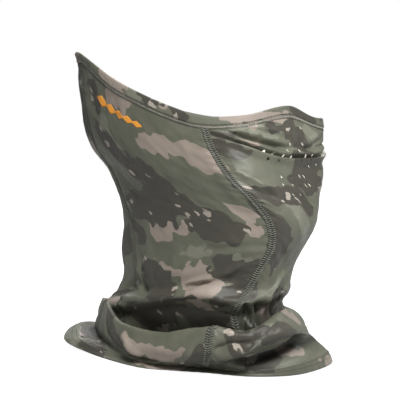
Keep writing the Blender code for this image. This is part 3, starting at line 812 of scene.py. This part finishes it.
def thread_mat(name, colour, colour2, rough=0.5):
    """Spun thread: the ply runs slantwise round each stitch."""
    g = Graph(name)
    geo = g.node("ShaderNodeTexCoord")
    wave = g.node("ShaderNodeTexWave", wave_type="BANDS", bands_direction="DIAGONAL")
    g.link(geo.outputs["Object"], wave.inputs["Vector"])
    wave.inputs["Scale"].default_value = 900.0
    wave.inputs["Distortion"].default_value = 1.2
    wave.inputs["Detail"].default_value = 1.0
    tone = g.noise(geo.outputs["Object"], 260.0, 2.0, 0.6)
    # painted shade: the grooves between the plies are darker than their crowns, mixed with random tone
    c = g.mix(g.ramp(g.math("MULTIPLY_ADD", wave.outputs["Fac"], 0.5, g.math("MULTIPLY", tone, 0.6)), 0.2, 0.9), colour, colour2)
    g.link(c, g.bsdf.inputs["Base Color"])
    b = g.node("ShaderNodeBump")
    b.inputs["Strength"].default_value = 0.35
    b.inputs["Distance"].default_value = 0.00012
    g.link(wave.outputs["Fac"], b.inputs["Height"])
    g.link(b.outputs[0], g.bsdf.inputs["Normal"])
    g.link(g.math("MULTIPLY_ADD", tone, 0.2, rough - 0.1), g.bsdf.inputs["Roughness"])
    g.bsdf.inputs["Sheen Weight"].default_value = 0.15
    return g.mat


def emblem_mat(name):
    """Heat-pressed film with the cloth showing through its wear."""
    g = Graph(name)
    vec = g.uv_mm()
    wear = g.ramp(g.noise(vec, 0.9, 4.0, 0.7), 0.62, 0.75)
    c = g.mix(g.ramp(g.noise(vec, 0.25, 2.0, 0.5), 0.3, 0.7), lin(252, 160, 52), lin(246, 172, 74))
    g.link(g.mix(g.math("MULTIPLY", wear, 0.4), c, lin(196, 134, 70)), g.bsdf.inputs["Base Color"])
    g.link(g.math("MULTIPLY_ADD", wear, 0.2, 0.42), g.bsdf.inputs["Roughness"])
    knit_bump(g, vec, 0.22)
    return g.mat


MAT_PRINT = print_fabric("jersey_print")
MAT_BAND = print_fabric("binding_print", rough=0.5, sheen=0.06, bump=0.5)
MAT_INNER = plain_fabric("jersey_reverse", lin(214, 212, 203), lin(192, 190, 181))
MAT_LIP = plain_fabric("binding_edge", lin(158, 153, 142), lin(118, 116, 104), rough=0.7)
MAT_SEAM = plain_fabric("seam_tape", lin(69, 69, 60), lin(55, 56, 49), rough=0.6, sheen=0.03)
MAT_THREAD = thread_mat("seam_thread", lin(98, 100, 90), lin(126, 127, 117))
MAT_STITCH = thread_mat("stitch_thread", lin(38, 37, 33), lin(62, 60, 54))
MAT_EMBLEM = emblem_mat("emblem_film")


# ------------------------------------------------------------ relief of cloth
def relief(u, v, ab):
    h = 1.5 * fold_height(FOLD_AB, ab) + ledge_height(LEDGE_AB, ab)
    h += ripple(ab, 7, (46, 24, 12), (0.42, 0.26, 0.10))
    h += seam_pucker(u, v, ab)
    um = np.mod(u, U_ALL)
    near = smooth((um - 0.2) / 0.8) * smooth((7.2 - um) / 0.9)
    h -= near * (12.0 * np.exp(-((v - 11.9) / 0.5) ** 2) - 2.5 * np.exp(-((v - 13.0) / 0.35) ** 2))
    from_band = lookup(MB, u, v) - lookup(MB, u, np.ones(len(v)))
    from_hem = lookup(MB, u, np.full(len(v), V_HEM)) - lookup(MB, u, v)
    return h * smooth(from_band / 12.0) * smooth(0.1 + from_hem / 10.0)


def lap_lift(u, v):
    """The lapped edge stands a little proud of the panel under it."""
    d = lookup(MB, u, v) - lookup(MB, u, lap_v(u))
    inner = smooth(np.minimum(u - 4.15, 8.85 - u) / 0.7)
    return inner * (2.3 * np.exp(-(np.maximum(d, 0) / 4.5) ** 2) - 0.9 * np.exp(-((d - 9.0) / 5.0) ** 2))


def nose_lift(u, v, ab):
    s = smooth((v - V_BIND) / np.maximum(lap_v(u) - V_BIND - 0.12, 0.2))
    h = 1.6 * fold_height(NOSE_AB, ab) + ripple(ab, 11, (30, 15), (0.28, 0.16)) + 0.4 * seam_pucker(u, v, ab)
    # the cloth rolls over just above the lap, with a tight groove on each side
    d = lookup(MB, u, lap_v(u)) - lookup(MB, u, v)
    ends = smooth(np.minimum(u - 4.1, 8.9 - u) / 0.9)
    h += ends * (1.7 * np.exp(-((d - 5.5) / 2.6) ** 2) - 1.5 * np.exp(-((d - 11.0) / 1.9) ** 2) - 2.2 * np.exp(-((d - 0.5) / 2.0) ** 2))
    from_band = lookup(MB, u, v) - lookup(MB, u, np.ones(len(v)))
    return -TUCK * s + h * smooth(from_band / 6.0)


def chin_lift(u, v, ab):
    return relief(u, v, ab) + lap_lift(u, v)


def columns_between(u0, u1, v, pitch, fine=None, fine_pitch=0.85):
    """Column positions along section v about pitch mm apart, closer in fine."""
    t = np.linspace(u0, u1, 900)
    arc = lookup(MA, t, np.full(900, float(v)))
    dens = np.full(900, 1.0 / pitch)
    if fine is not None:
        w = smooth((t - fine[0] + 0.15) / 0.15) * smooth((fine[1] + 0.15 - t) / 0.15)
        dens = dens * (1 - w) + w / fine_pitch
    cum = np.concatenate([[0], np.cumsum(np.diff(arc) * (dens[1:] + dens[:-1]) / 2)])
    n = max(4, int(cum[-1]) + 1)
    return np.interp(np.linspace(0, cum[-1], n), cum, t)


def trimmed_grid(us, vrow_of, rows, u0, u1, trim):
    U = np.zeros((rows, len(us)))
    V = np.zeros_like(U)
    for r in range(rows):
        v = vrow_of(r, us)
        w = max(float(lookup(MA, u1, v.mean()) - lookup(MA, u0, v.mean())), 5.0)
        t = trim / w * (u1 - u0)
        U[r] = u0 + t + (us - u0) / (u1 - u0) * (u1 - u0 - 2 * t)
        V[r] = v
    return U, V


# --------------------------------------------------------------- breath holes
HOLE_R = 1.45
NOSE_HOLES = [(264, 151), (274, 153), (285, 155), (294, 156.5), (277, 146), (289, 149.5), (291, 144), (302.5, 144), (299, 151)]
CHIN_HOLES = [(282, 176.5), (291, 176.5), (299.5, 176.5), (305, 176.5), (283, 185), (293, 185), (300.5, 185), (306.5, 185),
              (310, 185), (293.5, 195), (301, 195), (307, 195), (268.5, 159.5), (278, 160.5), (287, 160.8), (300, 160.6), (309, 159.8)]


def hole_list(points, span):
    """Holes at the listed places; the outermost are repeated on the far side
    of the nose line."""
    ab = cloth_ab(to_cloth(points, span))
    mid_a = float(np.interp(6.0, mu, MA[int(3.0 * MV)]))
    out = [tuple(p) for p in ab]
    for p, src in zip(ab, points):
        q = (2 * mid_a - p[0], p[1])
        if src[0] < 281 and all(math.hypot(q[0] - o[0], q[1] - o[1]) > 6.0 for o in out):
            out.append(q)
    return [(x, y, HOLE_R) for x, y in out]


PITCH = 1.7
FINE = 0.85

# rear panels
for name, u0, u1, node in (("rear_cloth_right", 0.0, U_SEAM_R, "rear_panel_right"),
                           ("rear_cloth_left", U_SEAM_L, 14.0, "rear_panel_left")):
    us = columns_between(u0, u1, 5.0, PITCH)
    vs = rows_v(V_BIND - 0.12, V_HEM + 0.12, (u0 + u1) / 2, PITCH)
    U, V = trimmed_grid(us, lambda r, x, vs=vs: np.full(len(x), vs[r]), len(vs), u0, u1, TUCK)
    obj = cloth_piece(name, U, V, "panel", relief, (MAT_PRINT, MAT_INNER))
    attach(obj, "gaiter")
    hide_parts(node)

# nose panel, folded into the lap
us = columns_between(U_SEAM_R, U_SEAM_L, 1.6, 1.5, (4.6, 7.4), FINE)
NR = 44
U, V = trimmed_grid(us, lambda r, x: (V_BIND - 0.12) + (lap_v(x) + 0.32 - V_BIND + 0.12) * r / (NR - 1), NR,
                    U_SEAM_R, U_SEAM_L, TUCK)
nose = cloth_piece("nose_cloth", U, V, "panel", nose_lift, (MAT_PRINT, MAT_INNER), holes=hole_list(NOSE_HOLES, (1.0, 3.1)))
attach(nose, "gaiter")
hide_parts("nose_panel")

# chin panel with the lapped lip, one cloth
us = columns_between(U_SEAM_R, U_SEAM_L, 4.0, PITCH, (5.0, 7.3), FINE)
top_rows = rows_v(float(lap_v(np.array([6.0]))[0]), 5.4, 6.0, FINE)
top_s = (top_rows - top_rows[0]) / (top_rows[-1] - top_rows[0])
low_rows = rows_v(5.4, V_HEM + 0.12, 6.0, PITCH)[1:]


def chin_row(r, x):
    if r < len(top_s):
        lv = lap_v(x)
        return lv + (5.4 - lv) * top_s[r]
    return np.full(len(x), low_rows[r - len(top_s)])


U, V = trimmed_grid(us, chin_row, len(top_s) + len(low_rows), U_SEAM_R, U_SEAM_L, TUCK)
chin = cloth_piece("chin_cloth", U, V, "panel", chin_lift, (MAT_PRINT, MAT_INNER), holes=hole_list(CHIN_HOLES, (2.4, 6.5)), thick=0.8)
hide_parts("chin_panel", "mouth_lip")
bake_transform(chin)


# ------------------------------------------------------------ binding and hem
def rolled(name, profile, faces_mat, mats, columns, floor=0.02, wave=None):
    """A closed band round the tube from a cross profile of (section, mm up
    past that section, lift)."""
    us = np.linspace(0, U_ALL, columns, endpoint=False)
    ring = []
    for v, along, lift in profile:
        vv = np.full(columns, float(v))
        n, tv, tu = frame_at(us, vv)
        p = surf(us, vv)
        ab = np.stack([lookup(MA, us, vv), lookup(MB, us, vv)], -1)
        up = lift + (wave(us, vv, ab) if wave is not None else 0.0)
        p = p + n * np.reshape(up, (-1, 1)) - tv * along
        ring.append(p)
    P = np.stack(ring)                     # profile x columns
    if floor is not None:
        P[..., 2] = np.maximum(P[..., 2], floor)
    m = len(profile)
    r, c = np.meshgrid(np.arange(m), np.arange(columns), indexing="ij")
    a = (r * columns + c).ravel()
    b = (r * columns + (c + 1) % columns).ravel()
    d = (((r + 1) % m) * columns + c).ravel()
    e = (((r + 1) % m) * columns + (c + 1) % columns).ravel()
    faces = np.stack([a, b, e, d], 1)
    fm = np.array(faces_mat)[r.ravel()]
    obj = make_mesh(name, P.reshape(-1, 3), faces, mats, fm)
    vv = np.repeat([q[0] for q in profile], columns)
    uu = np.tile(us, m)
    for k, layer in print_and_shade_layers(uu, vv).items():
        add_float(obj, k, layer)
    run = np.cumsum([0.0] + [float(np.linalg.norm(P[i + 1, 40] - P[i, 40])) for i in range(m - 1)])
    uvs = np.stack([np.repeat(run, columns) * 0 + lookup(MA, uu, np.maximum(vv, 0.0)), np.repeat(run, columns)], -1)
    add_uv(obj, uvs / 100.0)
    return obj


def band_wave(u, v, ab):
    return 0.10 * np.sin(ab[:, 0] * 2 * math.pi / 11.0 + np.sin(ab[:, 0] / 17.0)) * smooth(v / 0.9)


NCOL = 560
BAND_PROFILE = [(1.04, 0, 0.46), (1.0, 0, 0.62), (0.9, 0, 0.66), (0.885, 0, 1.02), (0.78, 0, 1.16), (0.6, 0, 1.14), (0.4, 0, 1.12), (0.2, 0, 1.1),
                (0.07, 0, 1.0), (0.0, 0.0, 0.8), (0.0, 0.45, 0.45), (0.0, 0.6, 0.0), (0.0, 0.45, -0.45), (0.0, 0.0, -0.8),
                (0.1, 0, -1.0), (0.4, 0, -1.1), (0.7, 0, -1.12), (0.94, 0, -1.1), (1.0, 0, -0.95), (1.04, 0, -0.5)]
band_mats = [1, 1, 0] + [0] * 17
band = rolled("binding_band", BAND_PROFILE, band_mats, (MAT_BAND, MAT_LIP), NCOL, floor=None, wave=band_wave)
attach(band, "gaiter")
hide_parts("top_band")

HEM_PROFILE = [(15.96, 0, 0.40), (16.02, 0, 0.75), (16.1, 0, 0.98), (16.3, 0, 1.02), (16.42, 0, 0.86), (16.5, 0, 1.0), (16.7, 0, 1.1), (16.88, 0, 1.08), (16.97, 0, 0.9),
               (17.0, -0.35, 0.5), (17.0, -0.5, 0.0), (17.0, -0.35, -0.5), (16.97, 0, -0.85), (16.8, 0, -1.02),
               (16.5, 0, -1.02), (16.2, 0, -1.0), (16.0, 0, -0.75), (15.95, 0, -0.42)]
hem = rolled("folded_hem", HEM_PROFILE, [0] * 13 + [1] * 5, (MAT_PRINT, MAT_INNER), NCOL, floor=0.05, wave=band_wave)
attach(hem, "gaiter")
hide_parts("bottom_hem")


# -------------------------------------------------------------------- threads
def threads(name, segments, radius, mat, sides=6):
    """Each segment is a short run of thread: (p0, p1, normal), bench mm, bowed
    outward at its middle and dipping into the cloth at both ends."""
    verts, faces = [], []
    rings = ((0.0, -0.9, 0.45), (0.14, -0.1, 0.9), (0.5, 0.25, 1.0), (0.86, -0.1, 0.9), (1.0, -0.9, 0.45))
    p0 = np.array([s[0] for s in segments])
    p1 = np.array([s[1] for s in segments])
    nn = np.array([s[2] for s in segments])
    d = p1 - p0
    d /= np.maximum(np.linalg.norm(d, axis=1, keepdims=True), 1e-9)
    side = np.cross(nn, d)
    side /= np.maximum(np.linalg.norm(side, axis=1, keepdims=True), 1e-9)
    up = np.cross(d, side)
    rings_v = []
    for t, h, w in rings:
        c = p0 + (p1 - p0) * t + up * (h * radius)
        for k in range(sides):
            a = 2 * math.pi * k / sides
            rings_v.append(c + (side * math.cos(a) + up * math.sin(a)) * radius * w)
    V = np.stack(rings_v, 1).reshape(-1, 3)
    per = len(rings) * sides
    quads = []
    for r in range(len(rings) - 1):
        for k in range(sides):
            k2 = (k + 1) % sides
            quads.append((r * sides + k, r * sides + k2, (r + 1) * sides + k2, (r + 1) * sides + k))
    for base, flip in ((0, True), ((len(rings) - 1) * sides, False)):
        q1 = [base, base + 1, base + 2, base + 3]
        q2 = [base, base + 3, base + 4, base + 5]
        quads += [q[::-1] if flip else q for q in (q1, q2)]
    quads = np.array(quads)
    F = (quads[None] + (np.arange(len(segments)) * per)[:, None, None]).reshape(-1, 4)
    return make_mesh(name, V, F, (mat,))


def on_cloth(u, v, lift_fn, up):
    u, v = np.asarray(u, float), np.asarray(v, float)
    ab = np.stack([lookup(MA, u, v), lookup(MB, u, v)], -1)
    n, tv, tu = frame_at(u, v)
    return surf(u, v) + n * (lift_fn(u, v, ab) + up)[:, None], n, tv, tu


def flat_zero(u, v, ab):
    return np.zeros(len(u))


def seam_piece(name, node, u_line, v0, v1, half):
    """Flatlock cover: a low crowned strip with a groove down its middle and
    two rows of slanting thread."""
    fine = np.linspace(v0, v1, 900)
    arc = lookup(MB, np.full(900, u_line), fine)
    n_rows = int((arc[-1] - arc[0]) / 1.2) + 1
    vs = np.interp(np.linspace(arc[0], arc[-1], n_rows), arc, fine)
    across = np.array([-1.0, -0.93, -0.72, -0.4, -0.14, 0.0, 0.14, 0.4, 0.72, 0.93, 1.0])
    top = np.array([0.22, 0.40, 0.50, 0.52, 0.48, 0.44, 0.48, 0.52, 0.50, 0.40, 0.22])
    uc = float(u_line) if u_line > 0 else 14.0 if False else float(u_line)
    du = (lookup(MA, np.full(n_rows, uc + 0.1), vs) - lookup(MA, np.full(n_rows, uc - 0.1), vs)) / 0.2
    U = uc + across[None, :] * half / np.maximum(du, 4.0)[:, None]
    V = np.repeat(vs[:, None], len(across), 1)
    u, v = U.ravel(), V.ravel()
    p, n, tv, tu = on_cloth(u, v, relief, np.tile(top, n_rows))
    q, _, _, _ = on_cloth(u, v, relief, np.full(len(u), -0.5))
    cols = len(across)
    r, c = np.meshgrid(np.arange(n_rows - 1), np.arange(cols - 1), indexing="ij")
    a = (r * cols + c).ravel()
    nv = len(u)
    f = np.stack([a, a + 1, a + cols + 1, a + cols], 1)
    e = np.concatenate([f[:, [0, 1]], f[:, [1, 2]], f[:, [2, 3]], f[:, [3, 0]]])
    key = np.minimum(e[:, 0], e[:, 1]) * nv + np.maximum(e[:, 0], e[:, 1])
    _, first, count = np.unique(key, return_index=True, return_counts=True)
    rim = e[first[count == 1]]
    faces = np.concatenate([f, f[:, ::-1] + nv, np.stack([rim[:, 1], rim[:, 0], rim[:, 0] + nv, rim[:, 1] + nv], 1)])
    obj = make_mesh(name, np.concatenate([p, q]), faces, (MAT_SEAM,))
    ab = np.stack([lookup(MA, u, v), lookup(MB, u, v)], -1)
    add_uv(obj, np.concatenate([ab, ab]) / 100.0)
    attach(obj, "gaiter")
    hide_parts(node)
    # slanting threads
    pitch = 2.3
    n_st = int((arc[-1] - arc[0] - 2.0) / pitch)
    at = arc[0] + 1.0 + np.arange(n_st) * pitch
    segs = []
    for s, (x0, x1) in ((-1, (-0.9, 0.02)), (1, (-0.02, 0.9))):
        va = np.interp(at, arc, fine)
        vb = np.interp(at + 1.7, arc, fine)
        dd = (lookup(MA, np.full(n_st, uc + 0.1), va) - lookup(MA, np.full(n_st, uc - 0.1), va)) / 0.2
        dd = np.maximum(dd, 4.0)
        ua, ub = uc + x0 * half / dd, uc + x1 * half / dd
        if s > 0:
            ua, ub = ub, ua
        pa, na, _, _ = on_cloth(ua, va, relief, np.full(n_st, 0.60))
        pb, nb, _, _ = on_cloth(ub, vb, relief, np.full(n_st, 0.60))
        segs += list(zip(pa, pb, (na + nb) / 2))
    th = threads(name + "_thread", segs, 0.5, MAT_THREAD)
    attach(th, "gaiter")
    return obj


seam_piece("side_flatlock_right", "side_seam_right", U_SEAM_R, 1.02, 15.98, 4.1)
seam_piece("side_flatlock_left", "side_seam_left", U_SEAM_L, 1.02, 15.98, 4.1)
seam_piece("rear_flatlock", "rear_seam", 0.0, 1.02, 15.98, 3.1)


def stitch_row(v_of, pitch, length, up, lift_fn, radius=0.26, only=None):
    """Running stitches all round the tube at sections v_of(u)."""
    t = np.linspace(0, U_ALL, 2400)
    vv = v_of(t)
    p = surf(t, vv)
    arc = np.concatenate([[0], np.cumsum(np.linalg.norm(np.diff(p, axis=0), axis=1))])
    n = int(arc[-1] / pitch)
    s = np.arange(n) * (arc[-1] / n)
    u0, u1 = np.interp(s, arc, t), np.interp(s + length, arc, t)
    a, na, _, _ = on_cloth(u0, v_of(u0), lift_fn, np.full(n, up))
    b, nb, _, _ = on_cloth(u1, v_of(u1), lift_fn, np.full(n, up))
    return list(zip(a, b, (na + nb) / 2))


def mm_below(section, mm):
    def f(u):
        u = np.asarray(u, float)
        v = np.full(len(u), float(section))
        d = (lookup(MB, u, np.full(len(u), section + 0.15)) - lookup(MB, u, np.full(len(u), section - 0.0))) / 0.15
        return v + mm / np.maximum(d, 3.0)
    return f


def any_lift(u, v, ab):
    """Relief of whichever panel lies at the surface just under the binding."""
    um = np.mod(u, U_ALL)
    front = (um > U_SEAM_R) & (um < U_SEAM_L)
    return np.where(front & (v < lap_v(um)), nose_lift(um, v, ab), relief(u, v, ab))


segs = stitch_row(mm_below(1.0, 1.4), 2.5, 2.2, 0.5, any_lift, 0.42)
segs += stitch_row(lambda u: np.full(len(np.atleast_1d(u)), 0.80), 2.6, 1.9, 1.15, flat_zero, 0.2)
st = threads("binding_stitches", segs, 0.4, MAT_STITCH)
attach(st, "gaiter")
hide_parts("top_band_stitching")

segs = stitch_row(lambda u: np.full(len(np.atleast_1d(u)), 16.16), 2.8, 2.1, 1.02, flat_zero, 0.28)
segs += stitch_row(lambda u: np.full(len(np.atleast_1d(u)), 16.42), 2.8, 2.1, 0.92, flat_zero, 0.28)
segs = [s for s in segs if s[0][2] > 0.4 and s[1][2] > 0.4]
st = threads("hem_stitches", segs, 0.28, MAT_STITCH)
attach(st, "gaiter")
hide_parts("bottom_hem_stitching")

# --------------------------------------------------------------- side emblem
MARK_U0, MARK_U1, MARK_V0, MARK_V1, MARK_N = 0.62, 2.05, 1.74, 1.97, 5
cols, rows = 161, 9
s = np.linspace(0, 1, cols)
uu = MARK_U0 + (MARK_U1 - MARK_U0) * s
ph = np.abs((s * MARK_N) % 1.0 * 2.0 - 1.0)
half = 0.7 + (4.8 - 0.6 * np.minimum((s * MARK_N).astype(int), MARK_N - 1)) * (1.0 - ph)
tt = np.linspace(-1, 1, rows)
mark_v = MARK_V0 + (MARK_V1 - MARK_V0) * s
dv = (lookup(MB, uu, mark_v + 0.1) - lookup(MB, uu, mark_v - 0.1)) / 0.2
U = np.repeat(uu[None, :], rows, 0)
V = mark_v[None, :] + tt[:, None] * (half / dv)[None, :]
u, v = U.ravel(), V.ravel()
p, n, _, _ = on_cloth(u, v, relief, np.full(len(u), 0.50))
q = p - n * 0.35
r, c = np.meshgrid(np.arange(rows - 1), np.arange(cols - 1), indexing="ij")
a = (r * cols + c).ravel()
f = np.stack([a, a + 1, a + cols + 1, a + cols], 1)
nv = len(u)
e = np.concatenate([f[:, [0, 1]], f[:, [1, 2]], f[:, [2, 3]], f[:, [3, 0]]])
key = np.minimum(e[:, 0], e[:, 1]) * nv + np.maximum(e[:, 0], e[:, 1])
_, first, count = np.unique(key, return_index=True, return_counts=True)
rim = e[first[count == 1]]
faces = np.concatenate([f, f[:, ::-1] + nv, np.stack([rim[:, 1], rim[:, 0], rim[:, 0] + nv, rim[:, 1] + nv], 1)])
mark = make_mesh("side_mark", np.concatenate([p, q]), faces, (MAT_EMBLEM,))
ab = np.stack([lookup(MA, u, v), lookup(MB, u, v)], -1)
add_uv(mark, np.concatenate([ab, ab]) / 100.0)
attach(mark, "gaiter")
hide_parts("side_emblem")


# ------------------------------------------------------------------- the set
def floor_mat():
    g = Graph("studio_floor")
    geo = g.node("ShaderNodeTexCoord")
    c = g.mix(g.ramp(g.noise(geo.outputs["Object"], 3.0, 3.0, 0.5), 0.3, 0.7), (0.44, 0.44, 0.44, 1), (0.46, 0.46, 0.46, 1))
    g.link(c, g.bsdf.inputs["Base Color"])
    g.bsdf.inputs["Roughness"].default_value = 0.9
    g.bsdf.inputs["Specular IOR Level"].default_value = 0.2
    g.bsdf.inputs["Emission Color"].default_value = (1.0, 1.0, 1.0, 1.0)
    path = g.node("ShaderNodeLightPath")
    g.link(g.math("MULTIPLY", path.outputs["Is Camera Ray"], 0.93), g.bsdf.inputs["Emission Strength"])
    return g.mat


S = 3.0
fl = bpy.data.meshes.new("floor")
fl.from_pydata([(-S, -S, -0.0004), (S, -S, -0.0004), (S, S, -0.0004), (-S, S, -0.0004)], [], [(0, 1, 2, 3)])
floor = bpy.data.objects.new("studio_floor", fl)
fl.materials.append(floor_mat())
bpy.context.scene.collection.objects.link(floor)


def area(name, loc, target, size, power, colour=(1, 1, 1)):
    from mathutils import Vector
    light = bpy.data.lights.new(name, "AREA")
    light.shape = "RECTANGLE"
    light.size, light.size_y = size
    light.energy = power
    light.color = colour
    o = bpy.data.objects.new(name, light)
    o.location = loc
    o.rotation_euler = (Vector(target) - Vector(loc)).to_track_quat("-Z", "Y").to_euler()
    bpy.context.scene.collection.objects.link(o)
    return o


area("key", (0.25, -0.95, 1.15), (0.0, 0.0, 0.15), (0.4, 0.4), 25.0)
area("fill", (1.3, -0.3, 0.7), (0.0, 0.0, 0.15), (0.5, 0.8), 3.0)
area("top", (0.1, 0.25, 1.5), (0.0, 0.0, 0.1), (1.0, 1.0), 7.0)
area("back", (0.0, 1.4, 0.9), (0.0, 0.0, 0.0), (1.6, 0.8), 9.0)

# a small lamp inside the neck, so that the white reverse shows through the holes
lamp = bpy.data.lights.new("inside", "POINT")
lamp.energy = 0.2
lamp.shadow_soft_size = 0.02
lamp_obj = bpy.data.objects.new("inside", lamp)
lamp_obj.location = (0.02, -0.01, 0.19)
bpy.context.scene.collection.objects.link(lamp_obj)

world = bpy.data.worlds.new("studio_air")
world.use_nodes = True
world.node_tree.nodes["Background"].inputs[0].default_value = (1.0, 1.0, 1.0, 1.0)
wt = world.node_tree
seen = wt.nodes.new("ShaderNodeBackground")
seen.inputs[0].default_value = (1.0, 1.0, 1.0, 1.0)
seen.inputs[1].default_value = 1.0
wt.nodes["Background"].inputs[1].default_value = 0.15
path = wt.nodes.new("ShaderNodeLightPath")
both = wt.nodes.new("ShaderNodeMixShader")
wt.links.new(path.outputs["Is Camera Ray"], both.inputs[0])
wt.links.new(wt.nodes["Background"].outputs[0], both.inputs[1])
wt.links.new(seen.outputs[0], both.inputs[2])
wt.links.new(both.outputs[0], wt.nodes["World Output"].inputs[0])
bpy.context.scene.world = world
bpy.context.scene.view_settings.view_transform = "Standard"
bpy.context.scene.view_settings.look = "None"
bpy.context.scene.view_settings.exposure = 0.0

cam_data = bpy.data.cameras.new("camera")
cam_data.sensor_width = 36.0
cam_data.lens = 99.0
cam_data.clip_start = 0.05
cam_data.clip_end = 20.0
cam = bpy.data.objects.new("camera", cam_data)
cam.location = (0.0062449, (3.27687 - 1094.0) / 1000.0, 0.2745)
cam.rotation_euler = (math.radians(90.0 - 6.0), 0.0, 0.0)
bpy.context.scene.collection.objects.link(cam)
bpy.context.scene.camera = cam
